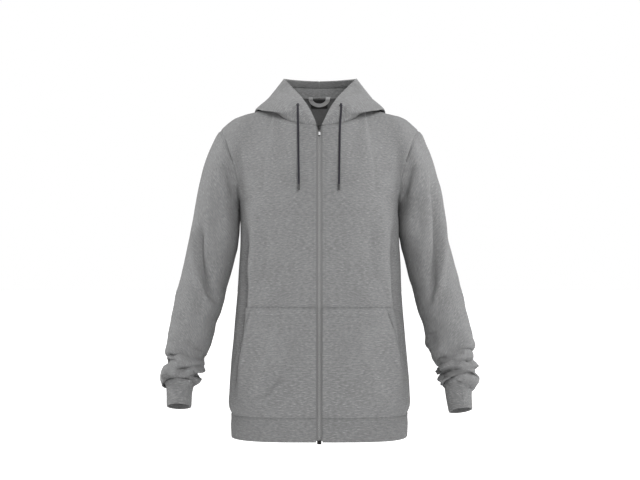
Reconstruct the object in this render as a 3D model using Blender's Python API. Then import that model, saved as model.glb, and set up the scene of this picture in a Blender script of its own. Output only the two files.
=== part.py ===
"""Hooded sweatshirt with a full-length zip, hollow and in its worn form.

Each piece that is cut and sewn is a wall of cloth of its own. Metres, +Z up. The front
faces -Y and the wearer's left is +X. The origin is at the centre of the neck opening,
level with the tops of the shoulders.
"""
import math

import bpy
import numpy as np
from mathutils import Vector


def table(names, *rows):
    """A table as one array for each named column."""
    return dict(zip(names.split(), np.array(rows, dtype=float).T))


# Cloth, seams and the spacing of the rows and columns of a panel
JERSEY = 0.0016          # wall of the fleece-backed jersey
DOUBLED = 0.0028         # wall of a piece that is folded double
TAPE = 0.0010            # zip tape
SEAM = 0.0003            # gap between two pieces at a seam
POCKET_COLUMNS = 8       # from the zip to the pocket's opening edge
SIDE_COLUMNS = 4         # from there to the side seam
POCKET_ROWS = 6          # from the hem seam to the pocket's top edge
WAIST_ROWS = 6           # from there to the chest line
YOKE_ROWS = 9            # from the chest line to the neck and shoulder
HALF_COLUMNS = POCKET_COLUMNS + SIDE_COLUMNS
NECK_COLUMNS = HALF_COLUMNS // 2

# Heights
CHEST_LINE = -0.240      # underarm points
POCKET_TOP = -0.4405
HEM_SEAM = -0.6645
HEM_BOTTOM = -0.7150

# Body below the underarms: level sections, flat in front with round sides
BODY = table(
    "height half_width front back corner",
    (-0.7150, 0.1872, -0.1310, 0.1300, 3.3),   # bottom edge of the hem band
    (-0.6900, 0.1882, -0.1312, 0.1302, 3.3),
    (-0.6645, 0.1880, -0.1312, 0.1302, 3.3),   # hem seam
    (-0.6520, 0.1922, -0.1345, 0.1330, 3.3),   # the cloth blouses over the band
    (-0.6200, 0.1925, -0.1345, 0.1325, 3.2),
    (-0.5600, 0.1890, -0.1320, 0.1290, 3.1),
    (-0.5000, 0.1830, -0.1280, 0.1235, 3.0),
    (-0.4405, 0.1775, -0.1250, 0.1190, 3.0),   # top edge of the pocket
    (-0.3700, 0.1722, -0.1235, 0.1180, 3.0),
    (-0.3000, 0.1690, -0.1240, 0.1215, 3.0),
    (-0.2400, 0.1665, -0.1225, 0.1245, 3.0),   # chest line
)

# Neck seam from the zip (0) past the high shoulder point (1) to the nape (2)
NECK = table(
    "round x y z",
    (0.00, 0.0065, -0.0950, -0.0640),
    (0.12, 0.0240, -0.0930, -0.0603),
    (0.25, 0.0445, -0.0875, -0.0575),
    (0.50, 0.0735, -0.0690, -0.0465),
    (0.75, 0.0885, -0.0380, -0.0245),
    (1.00, 0.0885, -0.0030, -0.0060),
    (1.25, 0.0820, 0.0270, 0.0000),
    (1.50, 0.0620, 0.0470, 0.0045),
    (1.75, 0.0330, 0.0575, 0.0065),
    (2.00, 0.0000, 0.0600, 0.0070),
)

# Shoulder seam from the high shoulder point (0) to the shoulder point (1)
SHOULDER = table(
    "share x y z",
    (0.00, 0.0885, -0.0030, -0.0060),
    (0.20, 0.1090, -0.0015, -0.0205),
    (0.40, 0.1350, 0.0000, -0.0285),
    (0.60, 0.1607, 0.0000, -0.0342),
    (0.80, 0.1850, 0.0000, -0.0442),
    (1.00, 0.2110, 0.0000, -0.0670),
)

# How a column of a yoke leaves the chest line (rise) and meets the neck or shoulder
# seam (fall), from the centre (0) to the armhole (1)
FRONT_YOKE = table(
    "share rise_x rise_y rise_z fall_x fall_y fall_z",
    (0.00, 0.0000, 0.0010, 0.060, 0.0000, -0.0130, -0.045),
    (0.25, -0.004, 0.0000, 0.060, 0.0060, -0.0230, -0.040),
    (0.50, -0.008, -0.006, 0.080, 0.0120, -0.0560, -0.012),
    (0.75, -0.002, -0.022, 0.075, 0.0040, -0.0700, -0.010),
    (1.00, -0.002, -0.066, 0.045, -0.025, -0.1000, -0.036),
)
BACK_YOKE = table(
    "share rise_x rise_y rise_z fall_x fall_y fall_z",
    (0.00, 0.0000, 0.0000, 0.070, 0.0000, 0.0350, -0.030),
    (0.25, -0.002, 0.0000, 0.070, 0.0050, 0.0380, -0.028),
    (0.50, -0.006, 0.0060, 0.080, 0.0120, 0.0560, -0.016),
    (0.75, -0.002, 0.0200, 0.075, 0.0040, 0.0680, -0.012),
    (1.00, -0.002, 0.0660, 0.045, -0.025, 0.0980, -0.036),
)

# Opening edge of the pocket: its distance from the zip's edge, measured on the cloth,
# as a share of the way to the side seam. Above the pocket the panel's columns spread
# evenly again.
POCKET_EDGE = table(
    "height share",
    (-0.6645, 0.720),
    (-0.6400, 0.742),
    (-0.6050, 0.745),
    (-0.5550, 0.725),
    (-0.5000, 0.680),
    (-0.4405, 0.590),
    (-0.3600, 0.640),
    (-0.2400, 0.667),
)

# Sleeves below the armhole: level sections down the arm. Out and fore are the middle
# of the section, away from the body and forwards.
SLEEVE_LEFT = table(
    "height out fore half_width half_depth",
    (-0.312, 0.2262, 0.000, 0.0512, 0.070),
    (-0.360, 0.2384, 0.004, 0.0512, 0.067),
    (-0.411, 0.2525, 0.012, 0.0512, 0.064),
    (-0.461, 0.2619, 0.024, 0.0507, 0.061),
    (-0.511, 0.2744, 0.040, 0.0492, 0.058),    # below the elbow, bent forwards
    (-0.531, 0.2785, 0.047, 0.0440, 0.053),
    (-0.548, 0.2865, 0.053, 0.0452, 0.055),    # first bunch of cloth
    (-0.562, 0.2860, 0.058, 0.0395, 0.050),
    (-0.582, 0.2905, 0.064, 0.0440, 0.053),    # second bunch
    (-0.596, 0.2900, 0.069, 0.0370, 0.046),
    (-0.603, 0.2895, 0.072, 0.0290, 0.039),    # cuff seam
)
SLEEVE_RIGHT = table(
    "height out fore half_width half_depth",
    (-0.312, 0.2286, 0.000, 0.0520, 0.070),
    (-0.360, 0.2397, 0.004, 0.0512, 0.067),
    (-0.411, 0.2540, 0.012, 0.0512, 0.064),
    (-0.461, 0.2638, 0.024, 0.0497, 0.061),
    (-0.511, 0.2735, 0.040, 0.0473, 0.057),
    (-0.535, 0.2795, 0.048, 0.0430, 0.053),
    (-0.550, 0.2805, 0.053, 0.0372, 0.048),
    (-0.567, 0.2865, 0.059, 0.0445, 0.054),    # first bunch of cloth
    (-0.580, 0.2940, 0.063, 0.0380, 0.048),
    (-0.591, 0.2910, 0.067, 0.0430, 0.052),    # second bunch
    (-0.599, 0.2910, 0.070, 0.0290, 0.039),    # cuff seam
)
CUFF_LEFT = table(
    "height out fore half_width half_depth",
    (-0.603, 0.2895, 0.072, 0.0290, 0.039),
    (-0.620, 0.2900, 0.077, 0.0258, 0.038),
    (-0.654, 0.2902, 0.086, 0.0248, 0.037),    # wrist edge
)
CUFF_RIGHT = table(
    "height out fore half_width half_depth",
    (-0.599, 0.2910, 0.070, 0.0290, 0.039),
    (-0.614, 0.2914, 0.075, 0.0258, 0.038),
    (-0.646, 0.2914, 0.084, 0.0248, 0.037),    # wrist edge
)
CAP_ROWS = 6             # rings of a sleeve from the armhole to its first section
ARM_ROWS = 18            # rings from there to the cuff
CUFF_ROWS = 3

# Hood, pushed back. At each station round the neck its cloth runs from the neck seam
# over the points below to its face edge.
HOOD_STAND = table(
    "round x y z",
    (0.00, 0.0065, -0.0954, -0.0632),
    (0.25, 0.0443, -0.0889, -0.0545),
    (0.50, 0.0755, -0.0720, -0.0440),
    (0.75, 0.0950, -0.0405, -0.0185),
    (1.00, 0.0960, -0.0020, 0.0025),
    (1.25, 0.0900, 0.0330, 0.0085),
    (1.50, 0.0690, 0.0580, 0.0110),
    (1.75, 0.0370, 0.0750, 0.0100),
    (2.00, 0.0000, 0.0790, 0.0105),
)
HOOD_LOWER = table(
    "round x y z",
    (0.00, 0.0065, -0.0959, -0.0624),
    (0.25, 0.0420, -0.0889, -0.0500),
    (0.50, 0.0780, -0.0765, -0.0405),
    (0.75, 0.1060, -0.0450, -0.0190),
    (1.00, 0.1170, -0.0030, -0.0120),
    (1.25, 0.1190, 0.0450, -0.0210),
    (1.50, 0.0960, 0.0880, -0.0470),
    (1.75, 0.0540, 0.1130, -0.0760),
    (2.00, 0.0000, 0.1190, -0.0860),
)
HOOD_FOLD = table(
    "round x y z",
    (0.00, 0.0065, -0.0962, -0.0615),
    (0.25, 0.0355, -0.0860, -0.0430),
    (0.50, 0.0775, -0.0805, -0.0362),
    (0.75, 0.1170, -0.0470, -0.0235),
    (1.00, 0.1380, -0.0030, -0.0225),
    (1.25, 0.1380, 0.0500, -0.0480),
    (1.50, 0.1130, 0.1020, -0.1060),
    (1.75, 0.0630, 0.1370, -0.1680),
    (2.00, 0.0000, 0.1470, -0.1950),
)
HOOD_UPPER = table(
    "round x y z",
    (0.00, 0.0064, -0.0964, -0.0607),
    (0.25, 0.0290, -0.0790, -0.0345),
    (0.50, 0.0620, -0.0610, -0.0130),
    (0.75, 0.0920, -0.0260, 0.0010),
    (1.00, 0.1110, 0.0130, 0.0050),
    (1.25, 0.1180, 0.0700, -0.0060),
    (1.50, 0.1000, 0.1250, -0.0320),
    (1.75, 0.0550, 0.1590, -0.0660),
    (2.00, 0.0000, 0.1700, -0.0800),
)
HOOD_EDGE = table(
    "round x y z",
    (0.00, 0.0062, -0.0965, -0.0600),
    (0.25, 0.0215, -0.0660, -0.0265),
    (0.50, 0.0385, -0.0360, 0.0000),
    (0.75, 0.0580, -0.0060, 0.0225),
    (1.00, 0.0775, 0.0220, 0.0448),
    (1.25, 0.0780, 0.0560, 0.0490),
    (1.50, 0.0600, 0.0880, 0.0505),
    (1.75, 0.0320, 0.1110, 0.0510),
    (2.00, 0.0000, 0.1190, 0.0508),
)
HOOD_CELLS = (2, 3, 4, 4, 3)   # cells between neck, stand, lower, fold, upper and edge

# Zip
ZIP_EDGE = 0.0065        # from the middle to the cloth's edge
TAPE_INNER = 0.0155      # inner edge of a tape, behind the front
TAPE_BOTTOM = -0.7105
BOX_BOTTOM = -0.7188
BAND_HEIGHTS = (HEM_SEAM, -0.6900, HEM_BOTTOM)
PULL_AXIS_HEIGHT = -0.0685
SLIDER_PLATE = 0.0020
TUNNEL_DEPTH = 0.0020
TUNNEL_HEIGHT = 0.0032
ARCH_BAR = 0.0009
ARCH_WIDTH = 0.0016
PULL_BAR = 0.0012

# Drawcord
EYELET_ROW = 2.35        # station of the hood, counted from the zip
EYELET_COLUMN = 13.4     # cell along the station, counted from the neck seam
EYELET_RADIUS = 0.0042
EYELET_HOLE = 0.0026
EYELET_THICKNESS = 0.0008
CORD_DIAMETER = 0.0045
CORD_LEFT = (
    (0.0455, -0.0697, -0.0164),
    (0.0458, -0.0797, -0.0228),
    (0.0450, -0.0890, -0.0360),
    (0.0435, -0.0950, -0.0540),
    (0.0425, -0.1010, -0.0780),
    (0.0418, -0.1120, -0.1100),
    (0.0412, -0.1220, -0.1500),
    (0.0405, -0.1270, -0.1980),
)
CORD_RIGHT = (
    (-0.0446, -0.0697, -0.0164),
    (-0.0446, -0.0797, -0.0228),
    (-0.0443, -0.0890, -0.0360),
    (-0.0440, -0.0950, -0.0540),
    (-0.0436, -0.1010, -0.0780),
    (-0.0430, -0.1120, -0.1100),
    (-0.0424, -0.1220, -0.1500),
    (-0.0418, -0.1270, -0.1980),
)

# Inside the nape
LABEL_TOP = 0.0050
LABEL_BOTTOM = -0.0125
LOOP_TOP = 0.0055

SIDES = (("left", 1), ("right", -1))


# Curves and surfaces -----------------------------------------------------------------

def smooth(keys, values, at):
    """Values between the rows of a table, on a smooth curve through them."""
    order = np.argsort(keys)
    keys = np.asarray(keys)[order]
    values = np.asarray(values)[order]
    at = np.clip(at, keys[0], keys[-1])
    slopes = np.gradient(values, keys, axis=0)
    cell = np.clip(np.searchsorted(keys, at, side="right") - 1, 0, len(keys) - 2)
    span = keys[cell + 1] - keys[cell]
    part = (at - keys[cell]) / span
    if values.ndim > 1:
        span = span[..., None]
        part = part[..., None]
    rest = 1.0 - part
    start = rest * rest * (values[cell] * (1 + 2 * part) + slopes[cell] * span * part)
    end = part * part * (values[cell + 1] * (1 + 2 * rest) - slopes[cell + 1] * span * rest)
    return start + end


def columns(rows, names):
    """Some columns of a table, side by side."""
    return np.stack([rows[name] for name in names.split()], axis=-1)


def unit(vectors):
    return vectors / np.linalg.norm(vectors, axis=-1, keepdims=True)


def bezier(start, rise, fall, end, share):
    """Points of cubic curves, one curve for each row of the four points."""
    t = np.asarray(share)[:, None, None]
    s = 1.0 - t
    return s**3 * start + 3 * s * s * t * rise + 3 * s * t * t * fall + t**3 * end


def quarter_section(height, behind):
    """A level quarter of the body from its centre to its side, and the cloth's length."""
    half_width, front, back, corner = smooth(
        BODY["height"], columns(BODY, "half_width front back corner"), np.array(height))
    depth = back if behind else front
    step = np.linspace(0.0, 1.0, 241)
    angle = 0.5 * math.pi * step * step * (3 - 2 * step)
    x = half_width * np.sin(angle) ** (2 / corner)
    y = depth * np.clip(np.cos(angle), 0, 1) ** (2 / corner)
    length = np.concatenate(([0.0], np.cumsum(np.hypot(np.diff(x), np.diff(y)))))
    return x, y, length


def level_row(height, shares, first_x, behind=False):
    """Points of the body at a height. A share of 0 is first_x off the centre, 1 the side."""
    x, y, length = quarter_section(height, behind)
    first = np.interp(first_x, x, length)
    at = first + np.asarray(shares) * (length[-1] - first)
    row = np.stack([np.interp(at, length, x), np.interp(at, length, y)], axis=-1)
    return np.column_stack([row, np.full(len(at), height)])


def pocket_shares(height):
    """Where a front's columns lie at a height: one of them follows the pocket's edge."""
    edge = smooth(POCKET_EDGE["height"], POCKET_EDGE["share"], np.array(height))
    inner = np.linspace(0.0, edge, POCKET_COLUMNS + 1)
    outer = np.linspace(edge, 1.0, SIDE_COLUMNS + 1)
    return np.concatenate([inner, outer[1:]])


def body_heights():
    pocket = np.linspace(HEM_SEAM, POCKET_TOP, POCKET_ROWS + 1)
    pocket[1] = HEM_SEAM + 0.0125
    waist = np.linspace(POCKET_TOP, CHEST_LINE, WAIST_ROWS + 1)
    return np.concatenate([pocket, waist[1:]])


def top_edge(from_nape):
    """Neck seam, then shoulder seam: the top ends of a yoke's columns."""
    shares = np.linspace(0.0, 1.0, NECK_COLUMNS + 1)
    start, end = (2.0, 1.0) if from_nape else (0.0, 1.0)
    neck = smooth(NECK["round"], columns(NECK, "x y z"), start + (end - start) * shares)
    shoulder_shares = np.linspace(0.0, 1.0, HALF_COLUMNS - NECK_COLUMNS + 1)
    shoulder = smooth(SHOULDER["share"], columns(SHOULDER, "x y z"), shoulder_shares)
    return np.concatenate([neck, shoulder[1:]])


def yoke(chest_row, top, offsets):
    """Columns from the chest line over the chest or back to the neck and shoulder."""
    shares = np.linspace(0.0, 1.0, len(chest_row))
    rise = smooth(offsets["share"], columns(offsets, "rise_x rise_y rise_z"), shares)
    fall = smooth(offsets["share"], columns(offsets, "fall_x fall_y fall_z"), shares)
    rows = np.linspace(0.0, 1.0, YOKE_ROWS + 1)
    return bezier(chest_row, chest_row + rise, top + fall, top, rows)


def front_grid():
    """The wearer's left front, from the zip to the side, hem seam to neck."""
    lower = [level_row(height, pocket_shares(height), ZIP_EDGE) for height in body_heights()]
    lower = np.array(lower)
    return np.concatenate([lower, yoke(lower[-1], top_edge(False), FRONT_YOKE)[1:]])


def back_grid():
    """The back, from its right side to its left side."""
    shares = np.linspace(0.0, 1.0, HALF_COLUMNS + 1)
    lower = np.array([level_row(height, shares, 0.0, True) for height in body_heights()])
    half = np.concatenate([lower, yoke(lower[-1], top_edge(True), BACK_YOKE)[1:]])
    return np.concatenate([mirrored(half)[:, :0:-1], half], axis=1)


def mirrored(grid):
    return grid * np.array([-1.0, 1.0, 1.0])


def arm_rings(sections, heights, count):
    """Oval rings square to the arm's run. A ring starts at its side by the body and
    goes round by the front."""
    names = "out fore half_width half_depth"
    out, fore, half_width, half_depth = smooth(
        sections["height"], columns(sections, names), heights).T
    centre = np.stack([out, -fore, heights], axis=-1)
    run = unit(np.gradient(centre, axis=0))
    side = unit(np.array([1.0, 0.0, 0.0]) - run * run[:, :1])
    ahead = np.cross(run, side)
    ahead = ahead * np.sign(-ahead[:, 1:2])
    turn = np.linspace(0.0, 2 * math.pi, count, endpoint=False)
    width = (half_width * np.abs(run[:, 2]))[:, None, None]
    depth = half_depth[:, None, None]
    across = -np.cos(turn)[None, :, None] * side[:, None, :]
    along = np.sin(turn)[None, :, None] * ahead[:, None, :]
    return centre[:, None, :] + width * across + depth * along, run


def sleeve_grid(armhole, sections):
    """A sleeve of the left side, from its armhole ring down to the cuff seam."""
    count = len(armhole)
    heights = np.linspace(sections["height"].max(), sections["height"].min(), ARM_ROWS + 1)
    rings, run = arm_rings(sections, heights, count)
    first = rings[0]
    turn = np.linspace(0.0, 2 * math.pi, count, endpoint=False)
    under = (0.5 + 0.5 * np.cos(turn))[:, None]
    over = (0.5 - 0.5 * np.cos(turn))[:, None]
    middle = 1.0 - np.abs(np.cos(turn))[:, None]
    leave = (under * np.array([0.90, 0.0, -0.45]) + over * np.array([0.66, 0.0, -0.75])
             + middle * np.array([0.25, 0.0, 0.25]))
    leave = leave + np.sin(turn)[:, None] * np.array([0.0, -0.25, 0.0])
    reach = np.linalg.norm(first - armhole, axis=1)[:, None]
    rise = armhole + unit(leave) * reach * 0.26
    fall = first - run[0] * reach * 0.33
    cap = bezier(armhole, rise, fall, first, np.linspace(0.0, 1.0, CAP_ROWS + 1))
    return np.concatenate([cap[:-1], rings])


def hood_grid():
    """The left half of the hood, a row for each station from the zip to the nape."""
    stations = np.linspace(0.0, 2.0, 2 * NECK_COLUMNS + 1)
    knots = [NECK, HOOD_STAND, HOOD_LOWER, HOOD_FOLD, HOOD_UPPER, HOOD_EDGE]
    points = [smooth(knot["round"], columns(knot, "x y z"), stations) for knot in knots]
    points = np.array(points).transpose(1, 0, 2)
    rows = []
    for section in points:
        span = np.linalg.norm(np.diff(section, axis=0), axis=1)
        keys = np.concatenate(([0.0], np.cumsum(span)))
        at = [np.linspace(keys[i], keys[i + 1], cells, endpoint=False)
              for i, cells in enumerate(HOOD_CELLS)]
        rows.append(smooth(keys, section, np.concatenate(at + [keys[-1:]])))
    grid = np.array(rows)
    grid[-1, :, 0] = 0.5 * SEAM
    return grid


# Panels and their walls --------------------------------------------------------------

class Panel:
    """A piece of cloth: a grid of points on its middle, thickened both ways."""

    def __init__(self, name, grid, wall, flip=False, tube=False):
        self.name = name
        self.grid = np.array(grid)
        self.wall = wall
        self.tube = tube
        self.flip = flip
        if tube:
            across = np.roll(self.grid, -1, axis=1) - np.roll(self.grid, 1, axis=1)
        else:
            across = np.gradient(self.grid, axis=1)
        normals = np.cross(across, np.gradient(self.grid, axis=0))
        self.normals = unit(-normals if flip else normals)

    def trim(self, edge, gap=SEAM / 2):
        """Moves an edge back towards the row or column beside it."""
        grid = self.grid
        if edge in ("first", "last"):
            row, beside = (0, 1) if edge == "first" else (-1, -2)
            grid[row] += unit(grid[beside] - grid[row]) * gap
        else:
            row, beside = (0, 1) if edge == "left" else (-1, -2)
            grid[:, row] += unit(grid[:, beside] - grid[:, row]) * gap

    def layers(self):
        half = 0.5 * self.wall * self.normals
        return self.grid + half, self.grid - half


def share_normals(seams):
    """Two pieces that meet at a seam get one direction for their thickness there."""
    for _ in range(8):
        for first, first_edge, second, second_edge in seams:
            mean = unit(first.normals[first_edge] + second.normals[second_edge])
            first.normals[first_edge] = mean
            second.normals[second_edge] = mean


def wall_faces(rows, count, tube):
    """Faces of a closed wall: outer sheet, inner sheet and the rims between them."""
    def index(row, column, layer):
        return (layer * rows + row) * count + column % count

    faces = []
    cells = count if tube else count - 1
    for row in range(rows - 1):
        for column in range(cells):
            quad = [(row, column + 1), (row + 1, column + 1), (row + 1, column), (row, column)]
            faces.append([index(r, c, 0) for r, c in quad])
            faces.append([index(r, c, 1) for r, c in quad[:1] + quad[:0:-1]])
    for column in range(cells):
        for row, turn in ((0, 1), (rows - 1, -1)):
            rim = [index(row, column, 0), index(row, column, 1),
                   index(row, column + 1, 1), index(row, column + 1, 0)]
            faces.append(rim[::turn])
    if not tube:
        for row in range(rows - 1):
            for column, turn in ((0, -1), (count - 1, 1)):
                rim = [index(row, column, 0), index(row, column, 1),
                       index(row + 1, column, 1), index(row + 1, column, 0)]
                faces.append(rim[::turn])
    return faces


def add_object(name, points, faces, material):
    mesh = bpy.data.meshes.new(name)
    mesh.from_pydata([tuple(point) for point in points], [], faces)
    mesh.update()
    mesh.materials.append(material)
    mesh.shade_smooth()
    mesh.set_sharp_from_angle(angle=math.radians(50))
    piece = bpy.data.objects.new(name, mesh)
    bpy.context.collection.objects.link(piece)
    return piece


def add_panel(panel, material):
    outer, inner = panel.layers()
    rows, count = panel.grid.shape[:2]
    faces = wall_faces(rows, count, panel.tube)
    if panel.flip:
        faces = [face[:1] + face[:0:-1] for face in faces]
    points = np.concatenate([outer.reshape(-1, 3), inner.reshape(-1, 3)])
    return add_object(panel.name, points, faces, material)


def add_pair(panel, material):
    """The wearer's left piece as modelled, and its mirror image on the right."""
    right = Panel(panel.name.replace("left", "right"), mirrored(panel.grid), panel.wall,
                  not panel.flip, panel.tube)
    right.normals = mirrored(panel.normals)
    add_panel(panel, material)
    add_panel(right, material)


# Body, sleeves and hood --------------------------------------------------------------

def band_grid():
    """The hem band, from the left edge at the zip round the back to the right edge."""
    rows = []
    for height in BAND_HEIGHTS:
        front = level_row(height, pocket_shares(HEM_SEAM), ZIP_EDGE)
        shares = np.linspace(1.0, 0.0, HALF_COLUMNS + 1)
        back = level_row(height, shares, 0.0, True)
        half = np.concatenate([front, back[1:]])
        rows.append(np.concatenate([half, mirrored(half)[-2::-1]]))
    return np.array(rows)


def ring_of(front, back, chest):
    """The armhole: up the front from the underarm point and down the back."""
    return np.concatenate([front[chest:, -1], back[-2:chest:-1, -1]])


def body_panels():
    """Every cloth panel, its walls meeting its neighbours' squarely at the seams."""
    chest = POCKET_ROWS + WAIST_ROWS
    front = Panel("front_left", front_grid(), JERSEY)
    back = Panel("back", back_grid(), JERSEY, flip=True)
    armhole = ring_of(front.grid, back.grid, chest)
    sleeves = [Panel("sleeve_left", sleeve_grid(armhole, SLEEVE_LEFT), JERSEY, True, True),
               Panel("sleeve_right", sleeve_grid(armhole, SLEEVE_RIGHT), JERSEY, True, True)]
    hood = Panel("hood_left", hood_grid(), JERSEY, flip=True)
    band = Panel("hem_band", band_grid(), DOUBLED, flip=True)
    cuffs = []
    for sleeve, name, sections in zip(sleeves, ("cuff_left", "cuff_right"),
                                      (CUFF_LEFT, CUFF_RIGHT)):
        heights = np.linspace(sections["height"].max(), sections["height"].min(), CUFF_ROWS + 1)
        rings, _ = arm_rings(sections, heights, len(armhole))
        rings[0] = sleeve.grid[-1]
        cuffs.append(Panel(name, rings, DOUBLED, True, True))

    half = HALF_COLUMNS
    ring = len(armhole)
    top = ring // 2
    up_front = (0, np.arange(0, top + 1))
    down_back = (0, np.arange(top, ring + 1) % ring)
    seams = [
        (front, np.s_[:chest + 1, -1], back, np.s_[:chest + 1, -1]),
        (front, np.s_[-1, NECK_COLUMNS:], back, np.s_[-1, half + NECK_COLUMNS:]),
        (front, np.s_[-1, :NECK_COLUMNS + 1], hood, np.s_[:NECK_COLUMNS + 1, 0]),
        (back, np.s_[-1, half:half + NECK_COLUMNS + 1], hood, np.s_[:NECK_COLUMNS - 1:-1, 0]),
        (band, np.s_[0, :half + 1], front, np.s_[0, :]),
        (band, np.s_[0, half:2 * half + 1], back, np.s_[0, :half - 1:-1]),
    ]
    for sleeve, cuff in zip(sleeves, cuffs):
        seams.append((front, np.s_[chest:, -1], sleeve, up_front))
        seams.append((back, np.s_[:chest - 1:-1, -1], sleeve, down_back))
        seams.append((sleeve, np.s_[-1], cuff, np.s_[0]))
    share_normals(seams)
    back.normals[:, :half] = mirrored(back.normals[:, :half:-1])
    band.normals[:, half + half:] = mirrored(band.normals[:, half + half::-1])
    hood.normals[-1, :, 0] = 0.0
    hood.normals[-1] = unit(hood.normals[-1])

    for panel, edges in ((front, "first last right"), (back, "first last left right"),
                         (band, "first")):
        for edge in edges.split():
            panel.trim(edge)
    hood.trim("left", 1.5 * SEAM)
    for sleeve, cuff in zip(sleeves, cuffs):
        sleeve.trim("first", 2 * SEAM)
        sleeve.trim("last")
        cuff.trim("first")
    return front, back, sleeves, cuffs, band, hood


def pocket_panel(front):
    """Half of the kangaroo pocket: the front's own points, moved out."""
    part = np.s_[:POCKET_ROWS + 1, :POCKET_COLUMNS + 1]
    out = 0.5 * JERSEY + SEAM + 0.5 * JERSEY
    grid = front.grid[part] + front.normals[part] * out
    pocket = Panel("pocket_left", grid, JERSEY)
    pocket.normals = front.normals[part].copy()
    return pocket


# Zip ---------------------------------------------------------------------------------

def tape_panel(front, band):
    """A zip tape, behind the edges of the front and of the hem band."""
    behind_front = 0.5 * JERSEY + SEAM + 0.5 * TAPE
    behind_band = 0.5 * DOUBLED + SEAM + 0.5 * TAPE
    low = band.grid[::-1, 0] - band.normals[::-1, 0] * behind_band
    low[0, 2] = TAPE_BOTTOM
    high = front.grid[1:, 0] - front.normals[1:, 0] * behind_front
    line = np.concatenate([low, high])
    low_step = band.grid[::-1, 1] - band.grid[::-1, 0]
    high_step = front.grid[1:, 1] - front.grid[1:, 0]
    step = np.concatenate([low_step, high_step])
    step = step / step[:, :1]
    edge, inner = line.copy(), line + step * (TAPE_INNER - ZIP_EDGE)
    middle = line.copy()
    middle[:, 0] = 0.5 * SEAM
    return Panel("zip_tape_left", np.stack([middle, edge, inner], axis=1), TAPE)


def slider_frame(tape):
    """Where the pull tab turns, and how far the zip leans back there."""
    line = tape.grid[-4:, 0]
    spot = [np.interp(PULL_AXIS_HEIGHT, line[:, 2], line[:, axis]) for axis in range(3)]
    rise = line[-1] - line[-3]
    lean = math.atan2(rise[1], rise[2])
    out = 0.5 * TAPE + SEAM + SLIDER_PLATE + 0.5 * TUNNEL_DEPTH
    place = (0.0, spot[1] - out * math.cos(lean), spot[2] + out * math.sin(lean))
    return place, lean


def rounded_outline(points, radius, steps=3):
    """A closed outline with its corners rounded off."""
    outline = []
    count = len(points)
    for i, corner in enumerate(points):
        corner = np.array(corner, dtype=float)
        before = unit(np.array(points[i - 1]) - corner)
        after = unit(np.array(points[(i + 1) % count]) - corner)
        for share in np.linspace(0.0, 1.0, steps + 1):
            start = corner + before * radius
            end = corner + after * radius
            middle = (1 - share)**2 * start + 2 * share * (1 - share) * corner
            outline.append(middle + share**2 * end)
    return np.array(outline)


def plate(name, outline, front, behind, material):
    """An outline in the XZ plane, given a thickness along Y. The outline runs
    anticlockwise seen from the front."""
    count = len(outline)
    points = [(x, y, z) for y in (front, behind) for x, z in outline]
    faces = [list(range(count)), list(range(2 * count - 1, count - 1, -1))]
    for i in range(count):
        after = (i + 1) % count
        faces.append([i, i + count, after + count, after])
    return add_object(name, points, faces, material)


def pierced_plate(name, outline, hole, front, behind, material):
    """A plate with one hole. Outline and hole have the same number of points."""
    count = len(outline)
    loops = [(outline, front), (outline, behind), (hole, behind), (hole, front)]
    points = [(x, y, z) for loop, y in loops for x, z in loop]
    faces = []
    for ring in range(4):
        start = ring * count
        other = ((ring + 1) % 4) * count
        for i in range(count):
            after = (i + 1) % count
            faces.append([start + i, other + i, other + after, start + after])
    return add_object(name, points, faces, material)


def box_points(half_x, low, high):
    """Corners of an upright rectangle, anticlockwise seen from the front."""
    return [(-half_x, low), (half_x, low), (half_x, high), (-half_x, high)]


def place_on_zip(piece, place, lean):
    piece.location = place
    piece.rotation_euler = (-lean, 0.0, 0.0)


def add_slider(place, lean, material):
    """The slider's plate, with the arch that holds the pull tab."""
    plate_front = 0.5 * TUNNEL_DEPTH
    shield = [(-0.0031, -0.0052), (0.0031, -0.0052), (0.0039, 0.0046), (-0.0039, 0.0046)]
    outline = rounded_outline(shield, 0.0012)
    body = plate("zip_slider", outline, plate_front, plate_front + SLIDER_PLATE, material)
    place_on_zip(body, place, lean)

    outer = 0.5 * TUNNEL_HEIGHT + ARCH_BAR
    front = -0.5 * TUNNEL_DEPTH - ARCH_BAR
    inner = -0.5 * TUNNEL_DEPTH
    sunk = plate_front + 0.5 * SLIDER_PLATE
    profile = [(sunk, -outer), (sunk, -outer + ARCH_BAR), (inner, -outer + ARCH_BAR),
               (inner, outer - ARCH_BAR), (sunk, outer - ARCH_BAR), (sunk, outer),
               (front, outer - 0.3 * ARCH_BAR), (front, -outer + 0.3 * ARCH_BAR)]
    count = len(profile)
    points = [(x, y, z) for x in (-0.5 * ARCH_WIDTH, 0.5 * ARCH_WIDTH) for y, z in profile]
    faces = [list(range(count)), list(range(2 * count - 1, count - 1, -1))]
    for i in range(count):
        after = (i + 1) % count
        faces.append([i, i + count, after + count, after])
    arch = add_object("slider_arch_guide", points, faces, material)
    place_on_zip(arch, place, lean)
    arch.hide_render = True
    arch.display_type = "WIRE"
    join = body.modifiers.new("arch", "BOOLEAN")
    join.operation = "UNION"
    join.solver = "EXACT"
    join.object = arch


def add_pull(place, lean, material):
    """The pull tab. Its origin is on the bar that turns in the slider's arch."""
    half_bar = 0.5 * PULL_BAR
    outline = rounded_outline([(-0.0023, -0.0192), (0.0023, -0.0192), (0.0020, half_bar),
                               (-0.0020, half_bar)], 0.0009)
    hole = rounded_outline(box_points(0.0012, -0.0056, -half_bar), 0.0003)
    tab = pierced_plate("zip_pull", outline, hole, -half_bar, half_bar, material)
    place_on_zip(tab, place, lean)


def add_zip_box(tape, material):
    """The retainer box at the foot of the zip."""
    y = tape.grid[0, 0, 1]
    outline = rounded_outline(box_points(0.0045, BOX_BOTTOM, TAPE_BOTTOM - SEAM), 0.0012)
    plate("zip_box", outline, y - 0.0024, y + 0.0012, material)


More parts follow.
